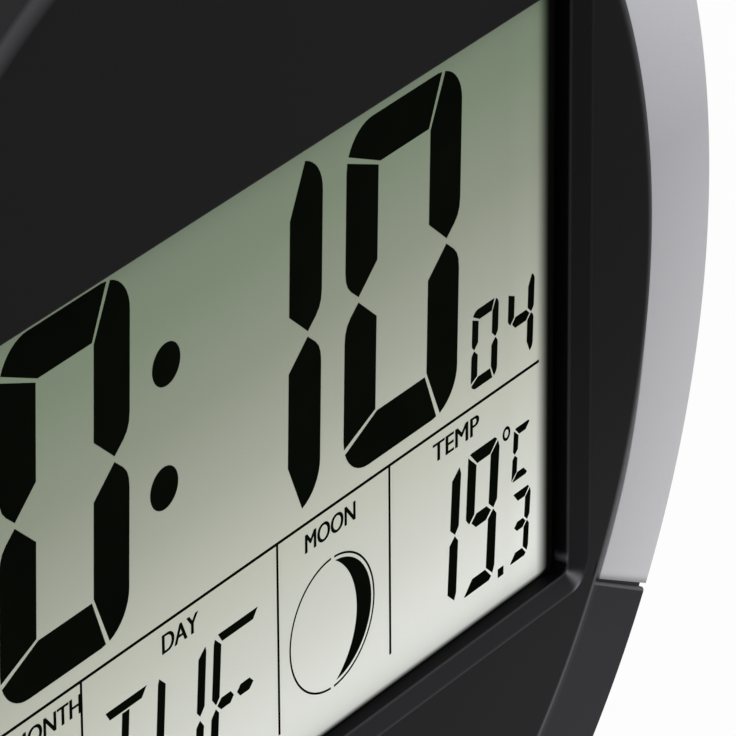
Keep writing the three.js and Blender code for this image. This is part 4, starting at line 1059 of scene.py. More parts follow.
# Printed lines and captions. Black ink on the glass: one rule under the time, three between the
# readings, and the plain words that say what each reading is.
def caption(text, left, right, low, high, back, front, boldness=0.0):
    """Points and faces of a word in a plain typeface, stretched to its box. A boldness thickens its
    strokes by three copies that far apart, each a hair lower than the last. A box whose left is
    greater than its right turns the word round, to be read from behind the clock."""
    letters = bpy.data.curves.new("caption", "FONT")
    letters.body = text
    letters.extrude = 0.5
    word = bpy.data.objects.new("caption", letters)
    bpy.context.scene.collection.objects.link(word)
    bpy.context.view_layer.update()
    mesh = bpy.data.meshes.new_from_object(word.evaluated_get(bpy.context.evaluated_depsgraph_get()))
    points = np.zeros(len(mesh.vertices) * 3)
    mesh.vertices.foreach_get("co", points)
    points = points.reshape(-1, 3)
    faces = [list(polygon.vertices) for polygon in mesh.polygons]
    bpy.data.objects.remove(word)
    bpy.data.meshes.remove(mesh)
    bpy.data.curves.remove(letters)
    lowest, highest = points.min(0), points.max(0)
    share = (points - lowest) / (highest - lowest)
    box_low = np.array((left + boldness, low, back))
    box_high = np.array((right - boldness, high, front))
    word_points = box_low + share * (box_high - box_low)
    shifts = (0, -1, 1) if boldness else (0,)
    copies = [(shift * boldness, 0, -caption_step * place) for place, shift in enumerate(shifts)]
    return joined([(word_points + shift, faces) for shift in copies])


caption_step = 0.006
rule_width = 0.6
rule_height = -17.81
rule_left = -101.0
rule_right = 101.3
rule_foot = -56.4
divider_places = (-40.05, 18.0, 52.85)
caption_low = -23.78
caption_high = -20.0
caption_boldness = 0.13
captions = {
    "DATE": (-92.0, -78.1), "MONTH": (-59.5, -40.1), "DAY": (-16.6, -5.85),
    "MOON": (26.5, 42.2), "TEMP": (66.7, 81.7)}
rules = [bar(rule_left, rule_height, rule_right, rule_height, rule_width)]
for x in divider_places:
    rules.append(bar(x, rule_height, x, rule_foot, rule_width))
ink_points, ink_faces = joined([prisms(rules, segment_low, segment_high)] + [
    caption(text, *sides, caption_low, caption_high, segment_low, segment_high, caption_boldness)
    for text, sides in captions.items()])
make_piece("display_printing", ink_points, ink_faces, crystal_black, slot="display_glass", weld=True)


# Rear cover. One black ABS moulding screwed in from behind: a flat middle that lies on the wall, a
# slope with six sunk screws, a recess for the keys, a hanging keyhole, vents and the battery bay.
def offset(outline, distance):
    """A counter-clockwise outline moved out by a distance, each corner along its bisector."""
    ahead = np.roll(outline, -1, 0) - outline
    ahead /= np.linalg.norm(ahead, axis=1)[:, None]
    facing = np.column_stack((ahead[:, 1], -ahead[:, 0]))
    before = np.roll(facing, 1, 0)
    return outline + distance * (before + facing) / (1 + np.sum(before * facing, axis=1))[:, None]


def circle(radius, centre=(0.0, 0.0), steps=48):
    """Points of a circle, counter-clockwise."""
    turn = np.linspace(0, 2 * math.pi, steps, endpoint=False)
    return np.column_stack((centre[0] + radius * np.cos(turn), centre[1] + radius * np.sin(turn)))


def within(points, outline):
    """Which points lie inside an outline: a level ray to the left crosses its sides oddly often."""
    x, y = points[:, :1], points[:, 1:2]
    x0, y0 = outline.T
    x1, y1 = np.roll(outline, -1, 0).T
    crosses = (y0 > y) != (y1 > y)
    reach = x0 + (y - y0) * (x1 - x0) / np.where(y1 == y0, 1, y1 - y0)
    return np.sum(crosses & (reach < x), axis=1) % 2 == 1


def web(border, holes, height, rings=()):
    """Triangles that fill a border outside its holes and keep to the rings, each as even in shape
    as the points allow, at one height or at a height worked out from each point."""
    loops = [border, *holes, *rings]
    flat = np.vstack(loops)
    counts = np.array([len(loop) for loop in loops])
    first = np.repeat(np.cumsum(counts) - counts, counts)
    index = np.arange(len(flat))
    following = first + (index - first + 1) % np.repeat(counts, counts)
    edges = np.column_stack((index, following)).tolist()
    mesh = delaunay_2d_cdt([Vector(point) for point in flat], edges, [], 1, 1e-6)
    flat = np.array([tuple(point) for point in mesh[0]])
    triangles = np.array(mesh[2])
    middles = flat[triangles].mean(1)
    kept = within(middles, border)
    for hole in holes:
        kept &= ~within(middles, hole)
    z = height(flat) if callable(height) else np.full(len(flat), height)
    return np.column_stack((flat, z)), triangles[kept].tolist()


def wall(outlines, heights):
    """Points and quads of an open wall through equal outlines, each at a height or at heights
    worked out from its points."""
    rows = []
    for outline, height in zip(outlines, heights):
        z = height(outline) if callable(height) else np.full(len(outline), height)
        rows.append(np.column_stack((outline, z)))
    return np.vstack(rows), grid_quads(len(rows), len(outlines[0])).tolist()


def sunk_edge(shape, top, floor_height, fillet=0.3, steps=4, margin=0.1):
    """Outlines and heights that go from a flat round an opening over a quarter-round edge and down
    its wall to a floor's height. The shape gives the opening's outline grown by a distance."""
    share = np.linspace(0, math.pi / 2, steps + 1)
    grown = np.concatenate(([fillet + margin], fillet * (1 - np.sin(share)), [0.0]))
    fall = np.concatenate(([0.0], fillet * (1 - np.cos(share))))
    surface = top if callable(top) else (lambda points: np.full(len(points), top))
    heights = [(lambda points, drop=drop: surface(points) + drop) for drop in fall]
    return [shape(grow) for grow in grown], [*heights, floor_height]


cover_skin = 0.02
plateau_radius = 122.0
slope_radius = 139.5
flange_radius = 143.8
flange_outside = 9.0
flange_inside = 11.2
cover_wall = 2.4
cover_fillet = 0.5
inside_flat_radius = 120.8
inside_slope_radius = 140.75
circle_steps = 360

outside_rows = filleted(
    [(100.0, cover_skin), (plateau_radius, cover_skin), (slope_radius, flange_outside),
     (flange_radius, flange_outside), (flange_radius, flange_inside), (inside_slope_radius, flange_inside)],
    (1.0, cover_fillet, cover_fillet, 0.3), steps=6, margin=0.15)
slope_row_count = 18
slope_rows = outside_rows[:slope_row_count]


def outside_height(points):
    """Height of the cover's outer face at each point, from its distance to the axis."""
    return np.interp(np.hypot(points[:, 0], points[:, 1]), slope_rows[:, 0], slope_rows[:, 1])


def inside_height(points):
    """Height of the cover's inner face at each point, one wall thickness inside the outer face."""
    radius = np.hypot(points[:, 0], points[:, 1])
    return np.interp(radius, (inside_flat_radius, inside_slope_radius), (cover_wall, flange_inside))


key_panel_y = -45.7
key_panel_width = 113.0
key_panel_height = 16.0
key_panel_corner = 3.5
key_panel_depth = 3.2
key_panel_back = 5.6
key_panel_taper = 1.0
button_diameter = 8.0
button_gap = 0.3
button_places = (-42.0, -21.0, 0.0, 21.0)
slider_x = 42.0
slider_slot_width = 8.6
slider_slot_height = 4.2
vent_place = (-72.0, -46.95)
vent_count = 6
vent_pitch = 4.2
vent_width = 1.8
vent_length = 16.0
keyhole_y = 107.0
keyhole_head = 5.0
keyhole_neck = 2.6
keyhole_end = 115.4
keyhole_rim = 2.2
screw_circle = 134.0
screw_angles = (45, 90, 135, 225, 270, 315)
counterbore_radius = 4.2
counterbore_floor = 9.0
screw_bore_radius = 1.6
screw_boss_radius = 6.55
door_half_width = 32.2
door_low = -113.4
door_high = -75.2
pin_slot_reach = 34.9
pin_slot_high = -110.6
tab_slot_half = 6.5
tab_slot_high = -72.2
notch_centre_y = -72.7
notch_radius = 9.0
notch_depth = 1.1
ledge_height = 2.6
door_frame_margin = 5.3
door_frame_below = 1.6
bay_centre_y = -94.3
bay_half_length = 29.1
bay_half_height = 16.0
bay_wall = 1.6
bay_floor = 17.4
cell_radius = 7.1
cell_height = 10.0
cell_rows = (-86.4, -102.2)
rest_low = 13.55
rest_half_width = 0.8
rest_root = 0.4
rest_clearance = 0.3


def key_panel(grow):
    """Outline of the key recess at its rim, grown by a distance."""
    return rounded_outline(
        key_panel_width + 2 * grow, key_panel_height + 2 * grow, key_panel_corner + grow, (0.0, key_panel_y))


def keyhole(grow):
    """Outline of the keyhole: a round head, and a neck with a round end above it."""
    neck = keyhole_neck + grow
    head = keyhole_head + grow
    split = math.degrees(math.acos(neck / head))
    return np.vstack((
        arc(0, keyhole_end, neck, neck, 0, 180, 16),
        arc(0, keyhole_y, head, head, 180 - split, 360 + split, 40)))


notch_turn = math.asin((door_high - notch_centre_y) / notch_radius)
notch_start = math.degrees(notch_turn)
notch_arc = arc(0, notch_centre_y, notch_radius, notch_radius, notch_start, 180 - notch_start, 24)
door_half = np.array([
    (door_half_width, door_low), (pin_slot_reach, door_low), (pin_slot_reach, pin_slot_high),
    (door_half_width, pin_slot_high), (door_half_width, door_high)])
tab_half = np.array([
    (notch_radius * math.cos(notch_turn), door_high), (tab_slot_half, door_high),
    (tab_slot_half, tab_slot_high)])
flip_x = np.array((-1, 1))
door_rim = np.vstack((door_half, notch_arc, (door_half * flip_x)[::-1]))
door_opening = np.vstack((door_half, tab_half, (tab_half * flip_x)[::-1], (door_half * flip_x)[::-1]))
notch_floor = np.vstack((notch_arc, (tab_half * flip_x)[1:], tab_half[:0:-1]))

bay_inside = rounded_outline(2 * bay_half_length, 2 * bay_half_height, 0.6, (0.0, bay_centre_y))
bay_outside = rounded_outline(
    2 * (bay_half_length + bay_wall), 2 * (bay_half_height + bay_wall), 1.2, (0.0, bay_centre_y))
door_frame_high = door_high + door_frame_margin
door_frame_low = door_low - door_frame_below
door_frame = rounded_outline(
    2 * (door_half_width + door_frame_margin), door_frame_high - door_frame_low, 5.0,
    (0.0, (door_frame_high + door_frame_low) / 2))
key_frame = rounded_outline(
    key_panel_width + 2 * cover_wall, key_panel_height + 2 * cover_wall, key_panel_corner + cover_wall,
    (0.0, key_panel_y))
screw_places = [
    (screw_circle * math.cos(math.radians(angle)), screw_circle * math.sin(math.radians(angle)))
    for angle in screw_angles]
vent_centres = [
    (vent_place[0] + (i - (vent_count - 1) / 2) * vent_pitch, vent_place[1]) for i in range(vent_count)]


def vent(grow, centre):
    """Outline of one vent, a slot with rounded ends."""
    return rounded_outline(
        vent_width + 2 * grow, vent_length + 2 * grow, vent_width / 2 + grow - 0.02, centre)


def round_line(radius):
    """Points of a circle round the clock's axis, in fine steps."""
    return circle(radius, steps=circle_steps)


def cover_parts():
    """Skins outside and inside with the same openings, and walls that join them: a filleted edge
    leads into every opening, and recesses end on floors of their own."""
    openings = [
        (key_panel, key_panel_depth), (keyhole, 2 * cover_wall),
        (lambda grow: offset(door_rim, grow), notch_depth)]
    openings += [(lambda grow, c=c: vent(grow, c), cover_wall) for c in vent_centres]
    parts, holes = [], []
    for shape, floor_height in openings:
        outlines, heights = sunk_edge(shape, cover_skin, floor_height)
        if shape is key_panel:
            outlines[-1] = key_panel(-key_panel_taper)
        holes.append(outlines[0])
        parts.append(wall(outlines, heights))
    for place in screw_places:
        outlines, heights = sunk_edge(
            lambda grow, p=place: circle(counterbore_radius + grow, p), outside_height,
            counterbore_floor, fillet=0.2)
        holes.append(outlines[0])
        parts.append(wall(outlines, heights))
        bore = circle(screw_bore_radius, place)
        boss = circle(screw_boss_radius, place)
        parts += [
            web(outlines[-1], [bore], counterbore_floor),
            wall([bore, bore], (counterbore_floor, flange_inside)),
            web(boss, [bore], flange_inside), wall([boss, boss], (inside_height, flange_inside))]
    rings = [round_line(radius) for radius in slope_rows[1:, 0]]
    rim = outside_rows[slope_row_count - 1:]
    vents = [vent(0, centre) for centre in vent_centres]
    bosses = [circle(screw_boss_radius, place) for place in screw_places]
    keyhole_wall = keyhole(keyhole_rim)
    inner_holes = [key_frame, keyhole_wall, door_frame, *vents, *bosses]
    parts += [
        web(rings[-1], holes, outside_height, rings[:-1]),
        wall([round_line(radius) for radius in rim[:, 0]], rim[:, 1]),
        web(round_line(inside_slope_radius), inner_holes, inside_height, [round_line(inside_flat_radius)])]

    key_holes = [circle(button_diameter / 2 + button_gap, (x, key_panel_y)) for x in button_places]
    key_holes.append(rounded_outline(slider_slot_width, slider_slot_height, 0.4, (slider_x, key_panel_y)))
    edges = [sunk_edge(lambda grow, o=o: offset(o, grow), key_panel_depth, key_panel_back, 0.15)
             for o in key_holes]
    parts.append(web(
        key_panel(-key_panel_taper), [outlines[0] for outlines, heights in edges], key_panel_depth))
    parts += [wall(outlines, heights) for outlines, heights in edges]
    frame_back = ledge_height + bay_wall
    bay_back = bay_floor + bay_wall
    return parts + [
        web(key_frame, key_holes, key_panel_back),
        wall([key_frame, key_frame], (cover_wall, key_panel_back)),
        wall([keyhole_wall, keyhole_wall], (cover_wall, 2 * cover_wall)),
        web(keyhole_wall, [keyhole(0)], 2 * cover_wall),
        web(notch_floor, [], notch_depth),
        wall([door_opening, door_opening], (notch_depth, ledge_height)),
        web(door_opening, [bay_inside], ledge_height),
        wall([bay_inside, bay_inside], (ledge_height, bay_floor)),
        web(bay_inside, [], bay_floor),
        wall([door_frame, door_frame], (cover_wall, frame_back)),
        web(door_frame, [bay_outside], frame_back),
        wall([bay_outside, bay_outside], (frame_back, bay_back)),
        web(bay_outside, [], bay_back)]


def rest_parts():
    """Two curved rests on the bay's floor: the lower edge of each follows the two cells, as the
    greater of a level and a circle of the cell's radius, from wall to wall of the bay."""
    y = np.linspace(
        bay_centre_y - bay_half_height - rest_root, bay_centre_y + bay_half_height + rest_root, 121)
    edge = np.full(len(y), rest_low)
    for row in cell_rows:
        reach = np.maximum((cell_radius + rest_clearance) ** 2 - (y - row) ** 2, 0)
        edge = np.maximum(edge, np.where(reach > 0, cell_height + np.sqrt(reach), rest_low))
    edge = np.minimum(edge, bay_floor)
    root = np.full(len(y), bay_floor + rest_root)
    parts = []
    for x in (-bay_half_length / 2, bay_half_length / 2):
        near, far = x - rest_half_width, x + rest_half_width
        parts.append(closed_strip([
            np.column_stack((np.full(len(y), side), y, z))
            for side, z in ((near, edge), (far, edge), (far, root), (near, root))]))
    return parts


# The rear cover's lower colour is painted a shade lighter, as light from the floor; the battery door shares
# this material.
cover_abs = black_abs("black_abs_rear_cover", "#1E1E1F", "#222223", 0.45, 0.6, specular=0.22)
cover_points, cover_faces = joined(cover_parts() + rest_parts())
make_piece(
    "rear_shell", cover_points, cover_faces, cover_abs, slot="black_abs", stands_for=("rear_cover",),
    weld=True, crease=30)


# Words by the keys. White pad printing on the flat above the recess, read from behind the clock,
# says what each key and the unit slide do.
def clouded(name, hex_code, cloud, shades, surface, grain=None):
    """A material of one colour whose tone drifts from one shade to another in soft clouds, given
    by their scale and detail. The surface gives the shader's inputs, and a grain is the scale,
    strength and depth of a fine relief."""
    material, tree = new_tree(name)
    place = add_node(tree, "ShaderNodeTexCoord").outputs["Object"]
    drift = add_node(tree, "ShaderNodeTexNoise", {"Vector": place, "Scale": cloud[0], "Detail": cloud[1]})
    share = add_node(tree, "ShaderNodeMapRange", {
        "Value": drift.outputs[0], "To Min": shades[0], "To Max": shades[1]})
    tint = add_node(tree, "ShaderNodeVectorMath", {
        0: colour(hex_code)[:3], "Scale": share.outputs[0]}, operation="SCALE")
    inputs = {"Base Color": tint.outputs[0], **surface}
    if grain:
        scale, strength, depth = grain
        pits = add_node(tree, "ShaderNodeTexNoise", {"Vector": place, "Scale": scale, "Detail": 1.0})
        inputs["Normal"] = add_node(tree, "ShaderNodeBump", {
            "Height": pits.outputs[0], "Strength": strength, "Distance": depth}).outputs[0]
    shader = add_node(tree, "ShaderNodeBsdfPrincipled", inputs)
    add_node(tree, "ShaderNodeOutputMaterial", {0: shader.outputs[0]})
    return material


word_low = -34.6
word_high = -31.8
word_depth = 0.08
key_words = {
    "MODE": (button_places[0], 8.6), "SET": (button_places[1], 6.2), "+": (button_places[2], 2.8),
    "°C/°F": (slider_x, 10.4)}
minus_x = button_places[3]
minus_height = -33.2
minus_half_width = 1.4
minus_line = 0.5
words = []
for text, (centre, width) in key_words.items():
    words.append(caption(
        text, centre + width / 2, centre - width / 2, word_low, word_high, word_depth, 0.0))
minus = bar(minus_x - minus_half_width, minus_height, minus_x + minus_half_width, minus_height, minus_line)
words.append(prisms([minus], 0.0, word_depth))
word_points, word_faces = joined(words)
print_ink = clouded(
    "white_pad_printing", "#D6D6D4", (900.0, 2.0), (0.9, 1.04),
    {"Roughness": 0.6, "IOR": 1.5, "Specular IOR Level": 0.3})
make_piece("key_words", word_points, word_faces, print_ink, slot="black_abs", weld=True)


# Battery door. A black ABS plate with a half-round hinge edge on two pins, four grip grooves and
# a finger tab that snaps under the cover at the thumb notch.
def lathe(profile, steps=48):
    """Points and quads of a profile of (radius, height) turned about an upright axis, with each
    end that lies on the axis closed by a fan."""
    turn = np.linspace(0, 2 * math.pi, steps, endpoint=False)
    radius, height = profile[:, :1], np.repeat(profile[:, 1:], steps, 1)
    rings = np.stack((radius * np.cos(turn), radius * np.sin(turn), height), axis=-1)
    return rings.reshape(-1, 3), grid_quads(len(profile), steps).tolist()


door_front = 0.3
door_back = 2.3
door_plate_half = 31.7
door_plate_low = -112.9
door_plate_high = -75.7
door_pivot_y = -111.9
door_pivot_z = 1.3
door_pin_reach = 34.1
door_pin_radius = 1.0
door_corner = 0.8
door_edge_roll = 0.35
door_support = 0.45
tab_half_width = 6.0
tab_reach = -72.7
tab_corner = 1.2
grip_count = 4
grip_first_y = -79.7
grip_pitch = 2.4
grip_width = 19.2
grip_line = 0.8
grip_corner = 0.38
grip_depth = 0.5

door_outline = np.vstack((
    [(-door_plate_half, door_plate_low), (door_plate_half, door_plate_low), (door_plate_half, door_pivot_y)],
    arc(door_plate_half - door_corner, door_plate_high - door_corner, door_corner, door_corner, 0, 90, 5),
    [(tab_half_width, door_plate_high)],
    arc(tab_half_width - tab_corner, tab_reach - tab_corner, tab_corner, tab_corner, 0, 90, 6),
    arc(tab_corner - tab_half_width, tab_reach - tab_corner, tab_corner, tab_corner, 90, 180, 6),
    [(-tab_half_width, door_plate_high)],
    arc(door_corner - door_plate_half, door_plate_high - door_corner, door_corner, door_corner, 90, 180, 5),
    [(-door_plate_half, door_pivot_y)]))


def door_row(inset, height):
    """The door's outline drawn in by an inset, with its hinge edge on the pivot's half circle."""
    moved = offset(door_outline, -inset)
    round_reach = math.sqrt(max(door_pin_radius ** 2 - (height - door_pivot_z) ** 2, 0.0004))
    hinge = door_outline[:, 1] < door_pivot_y - 0.5
    moved[hinge, 1] = door_pivot_y - round_reach
    return moved


quarter = np.linspace(0, math.pi / 2, 6)
roll_in = door_edge_roll * (1 - np.sin(quarter))
roll_up = door_edge_roll * (1 - np.cos(quarter))
middle_heights = np.linspace(door_front + door_edge_roll, door_back - door_edge_roll, 7)[1:-1]
door_insets = np.concatenate((roll_in, np.zeros(5), roll_in[::-1]))
door_heights = np.concatenate((door_front + roll_up, middle_heights, door_back - roll_up[::-1]))
door_rows = [door_row(inset, z) for inset, z in zip(door_insets, door_heights)]
front_support = door_row(door_support, door_front)
back_support = door_row(door_support, door_back)
grip_floor = door_front + grip_depth
grips = [
    rounded_outline(grip_width, grip_line, grip_corner, (0.0, grip_first_y - i * grip_pitch))
    for i in range(grip_count)]
grip_edges = [sunk_edge(lambda grow, o=o: offset(o, grow), door_front, grip_floor, 0.15, 3) for o in grips]
door_parts = [
    wall([front_support, *door_rows, back_support], (door_front, *door_heights, door_back)),
    web(front_support, [outlines[0] for outlines, heights in grip_edges], door_front),
    web(back_support, [], door_back)]
door_parts += [wall(outlines, heights) for outlines, heights in grip_edges]
door_parts += [web(outline, [], grip_floor) for outline in grips]
pin_points, pin_faces = lathe(np.array([
    (0.0, door_plate_half - 1), (door_pin_radius, door_plate_half - 1),
    (door_pin_radius, door_pin_reach - 0.3), (door_pin_radius - 0.1, door_pin_reach - 0.1),
    (door_pin_radius - 0.3, door_pin_reach), (0.0, door_pin_reach)]), 32)
for side in (-1, 1):
    placed_pin = np.column_stack((
        side * pin_points[:, 2], door_pivot_y + pin_points[:, 0], door_pivot_z + pin_points[:, 1]))
    door_parts.append((placed_pin, pin_faces))
door_points, door_faces = joined(door_parts)
make_piece(
    "door_plate", door_points, door_faces, cover_abs, "battery_door_body", "black_abs", ("battery_door",),
    weld=True, crease=30)


# Keys and unit slide. Grey ABS caps with domed tops and a flange behind the cover, and a slide
# with three grip ridges on a thin plate that covers its slot.
def moulded_plastic(name, hex_code, roughness, specular=0.4):
    """Moulded plastic of one colour: a fine spark-eroded grain and a faint drift in tone."""
    surface = {"Roughness": roughness, "IOR": 1.5, "Specular IOR Level": specular}
    return clouded(name, hex_code, (120.0, 3.0), (0.93, 1.06), surface, (4000.0, 0.3, 0.00004))


cap_height = 1.5
cap_dome = 0.7
cap_roll = 0.35
cap_sag = 0.25
flange_low = 5.9
flange_high = 7.1
key_flange_radius = 5.3
stem_radius = 2.0
stem_end = 11.5
cap_radius = button_diameter / 2
cap_edge = cap_height + cap_dome
dome_share = np.linspace(0, 1, 9)[:, None]
dome = np.hstack((
    dome_share * (cap_radius - cap_roll), cap_height + (cap_dome - cap_sag) * dome_share ** 2))
key_profile = np.vstack((dome, filleted(
    [(cap_radius - cap_roll, cap_edge - cap_sag), (cap_radius, cap_edge), (cap_radius, flange_low),
     (key_flange_radius, flange_low), (key_flange_radius, flange_high),
     (stem_radius, flange_high), (stem_radius, stem_end), (0.0, stem_end)],
    (0.3, 0.2, 0.2, 0.2, 0.3, 0.2), steps=3, margin=0.05)[1:]))
grey_abs = moulded_plastic("grey_abs_keys", "#6A6C6F", 0.42)
for name, x in zip(("mode_button", "set_button", "plus_button", "minus_button"), button_places):
    cap_points, cap_faces = lathe(key_profile)
    cap_points[:, 0] += x
    cap_points[:, 1] += key_panel_y
    make_piece(f"{name}_cap", cap_points, cap_faces, grey_abs, f"{name}_body", "grey_abs", (name,), weld=True)

slide_x = 40.5
slide_half = (2.5, 1.8)
slide_top = 1.9
slide_foot = 6.2
plate_size = (8.6, 7.2)
slide_stem_size = (2.5, 1.8)
slide_stem_low = 6.9
slide_stem_end = 11.4
ridge_foot = 2.3
ridge_top = 1.5
ridge_pitch = 1.667
ridge_width = 0.56


def slide_block(width, height, centre_x, top, foot, roll):
    """A closed block with rounded upright edges and a rolled top edge."""
    turn = np.linspace(0, math.pi / 2, 5)
    insets = [*(roll * (1 - np.sin(turn))), 0.0]
    heights = [*(top + roll * (1 - np.cos(turn))), foot]
    outlines = [
        rounded_outline(width - 2 * inset, height - 2 * inset, roll + 0.05, (centre_x, key_panel_y), 4)
        for inset in insets]
    return stacked(outlines, heights)


slide_parts = [
    slide_block(2 * slide_half[0], 2 * slide_half[1], slide_x, slide_top, slide_foot, 0.2),
    slide_block(*plate_size, slide_x, flange_low, flange_high, 0.15),
    slide_block(*slide_stem_size, slide_x, slide_stem_low, slide_stem_end, 0.1)]
slide_parts += [
    slide_block(ridge_width, 2 * slide_half[1] - 0.1, slide_x + i * ridge_pitch, ridge_top, ridge_foot, 0.12)
    for i in (-1, 0, 1)]
slide_points, slide_faces = joined(slide_parts)
make_piece(
    "unit_slide", slide_points, slide_faces, grey_abs, "unit_slider_body", "grey_abs", ("unit_slider",),
    weld=True)


# Case screws. Zinc-plated pan-head screws for plastic, with a cross recess, sunk in the slope.
def plated_metal(name, hex_code, roughness, streak):
    """Bright plating over steel: metal with a slight unevenness and fine turning marks, scaled by
    the streak, which scatter its reflections."""
    surface = {"Metallic": 1.0, "Roughness": roughness}
    return clouded(name, hex_code, (400.0, 3.0), (0.86, 1.06), surface, (6000.0, streak, 0.00003))


head_radius = 2.8
head_top = 6.9
head_seat = 8.7
head_rise = 0.72
shank_radius = 1.4
shank_end = 18.4
tip_radius = 0.5
tip_length = 1.2
cross_reach = 1.5
cross_half = 0.36
cross_depth = 1.0
cross_taper = 0.75


def head_height(points):
    """Height of the pan head over its middle: it falls away as the fourth power of the radius."""
    return head_top + head_rise * (np.hypot(points[:, 0], points[:, 1]) / head_radius) ** 4


arm = np.array([(cross_reach, -cross_half), (cross_reach, cross_half), (cross_half, cross_half)])
quarter_turn = np.array([(0, 1), (-1, 0)])
cross = np.vstack([arm @ np.linalg.matrix_power(quarter_turn, turns) for turns in range(4)])
cross_foot = cross * cross_taper
head_rings = [circle(r) for r in (1.7, 2.1, 2.4, 2.65)]
screw_parts = [
    web(circle(head_radius), [cross], head_height, head_rings),
    wall([cross, cross_foot], (head_height, head_top + cross_depth)),
    web(cross_foot, [], head_top + cross_depth),
    wall([circle(r) for r in (head_radius, head_radius, shank_radius, shank_radius, tip_radius)],
         (head_height, head_seat, head_seat, shank_end - tip_length, shank_end)),
    web(circle(tip_radius), [], shank_end)]
screw_points, screw_faces = joined(screw_parts)
screw_steel = plated_metal("zinc_plated_steel", "#A9A9AB", 0.34, 0.2)
for number, (x, y) in enumerate(screw_places, 1):
    make_piece(
        f"case_screw_head_{number}", screw_points + np.array((x, y, 0)), screw_faces, screw_steel,
        slot="screw_steel", stands_for=(f"case_screw_{number}",), weld=True)


# Cells. Two AA cells side by side in plain jackets: a dark sleeve with a light band at the
# positive end, the steel can's rim showing at both ends, and the nub.
def printed_jacket(name, nub_side, centre_x):
    """A printed foil sleeve along the cell: dark over most of it, a pale gold band by the nub, and
    bare steel at the ends, told apart by the distance along the cell."""
    material, tree = new_tree(name)
    place = add_node(tree, "ShaderNodeTexCoord").outputs["Object"]
    axes = add_node(tree, "ShaderNodeSeparateXYZ", {0: place})
    along = add_node(tree, "ShaderNodeMath", {
        0: axes.outputs["X"], 1: nub_side, 2: -nub_side * centre_x * 0.001}, operation="MULTIPLY_ADD")
    share = add_node(tree, "ShaderNodeMapRange", {
        "Value": along.outputs[0], "From Min": -cell_length * 0.0005, "From Max": cell_length * 0.0005})
    ramp = add_node(tree, "ShaderNodeValToRGB", {0: share.outputs[0]})
    ramp.color_ramp.interpolation = "CONSTANT"
    set_stops(ramp, ((0.0, "#B4B4B2"), (0.025, "#24344F"), (0.72, "#B79A63"), (0.975, "#B4B4B2")))
    cloud = add_node(tree, "ShaderNodeTexNoise", {"Vector": place, "Scale": 300.0, "Detail": 2.0})
    gloss = add_node(tree, "ShaderNodeMapRange", {"Value": cloud.outputs[0], "To Min": 0.24, "To Max": 0.34})
    shader = add_node(tree, "ShaderNodeBsdfPrincipled", {
        "Base Color": ramp.outputs[0], "Metallic": 0.5, "Roughness": gloss.outputs[0]})
    add_node(tree, "ShaderNodeOutputMaterial", {0: shader.outputs[0]})
    return material


cell_length = 49.4
cell_shift = 2.8
nub_radius = 2.75
nub_length = 1.0
cell_profile = filleted(
    [(0.0, 0.35), (4.6, 0.35), (5.0, 0.0), (cell_radius, 0.0), (cell_radius, cell_length),
     (5.0, cell_length), (nub_radius, cell_length - 0.2), (nub_radius, cell_length + nub_length),
     (0.0, cell_length + nub_length)],
    (0.1, 0.1, 0.8, 0.8, 0.2, 0.2, 0.4), steps=4, margin=0.1)
for name, row, nub_side in (("battery_upper", cell_rows[0], 1), ("battery_lower", cell_rows[1], -1)):
    centre_x = nub_side * cell_shift
    can_points, can_faces = lathe(cell_profile)
    can_points = np.column_stack((
        nub_side * (can_points[:, 2] - cell_length / 2) + centre_x, row + can_points[:, 0],
        cell_height + can_points[:, 1]))
    jacket = printed_jacket(f"printed_jacket_{name}", nub_side, centre_x)
    make_piece(
        f"{name}_can", can_points, can_faces, jacket, slot="cell_jacket", stands_for=(name,), weld=True)


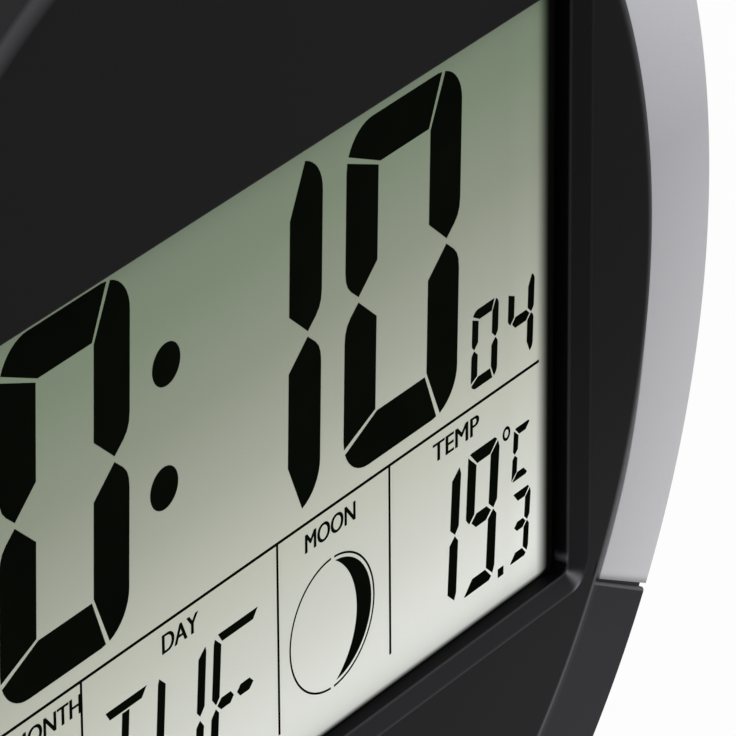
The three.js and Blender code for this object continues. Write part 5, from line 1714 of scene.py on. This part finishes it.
# Parts inside the case. They keep their construction shape, and each takes the finish of what it
# is made of: moulded plastic, coated board, resin, rubber, plating or wire insulation.
def coated_board(name, hex_code):
    """A circuit board under green solder mask, through which the copper tracks show as paler
    lines on a fine square grid."""
    material, tree = new_tree(name)
    place = add_node(tree, "ShaderNodeTexCoord").outputs["Object"]
    tracks = add_node(tree, "ShaderNodeTexVoronoi", {"Vector": place, "Scale": 260.0}, distance="CHEBYCHEV")
    edge = add_node(tree, "ShaderNodeMapRange", {
        "Value": tracks.outputs["Distance"], "From Min": 0.42, "From Max": 0.5},
        interpolation_type="SMOOTHSTEP")
    lighter = tuple(min(1.0, 1.5 * channel) for channel in colour(hex_code)[:3]) + (1.0,)
    tone = add_node(tree, "ShaderNodeMix", {
        0: edge.outputs[0], 6: colour(hex_code), 7: lighter}, data_type="RGBA")
    shader = add_node(tree, "ShaderNodeBsdfPrincipled", {
        "Base Color": tone.outputs[2], "Roughness": 0.3, "IOR": 1.5, "Coat Weight": 0.4,
        "Coat Roughness": 0.15})
    add_node(tree, "ShaderNodeOutputMaterial", {0: shader.outputs[0]})
    return material


white_abs = moulded_plastic("white_abs_holder", "#E2E2DE", 0.5)
reflector = moulded_plastic("pearl_reflector_film", "#D8DAD2", 0.45)
silicone = moulded_plastic("grey_silicone_rubber", "#8C8F96", 0.7, 0.25)
resin = moulded_plastic("black_potting_resin", "#17171A", 0.2)
black_sleeve = moulded_plastic("black_pvc_sleeve", "#1A1A1A", 0.4)
red_sleeve = moulded_plastic("red_pvc_sleeve", "#A32222", 0.4)
nickel = plated_metal("nickel_plated_spring_steel", "#C9C8C4", 0.26, 0.1)
solder_mask = coated_board("green_solder_mask", "#1F6B43")
inside_finish = {
    "lcd_holder": white_abs, "lcd_reflector": reflector, "zebra_strip": silicone, "key_mat": silicone,
    "main_board": solder_mask, "controller_blob": resin, "thermistor": resin, "clock_crystal": nickel,
    "smoothing_capacitor": black_sleeve, "unit_switch_body": nickel, "bridge_contact": nickel,
    "negative_terminal": nickel, "positive_terminal": nickel, "negative_lead": black_sleeve,
    "positive_lead": red_sleeve}
for name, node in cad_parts.items():
    if not node.hide_render:
        node.data.materials.clear()
        node.data.materials.append(inside_finish.get(name, screw_steel))
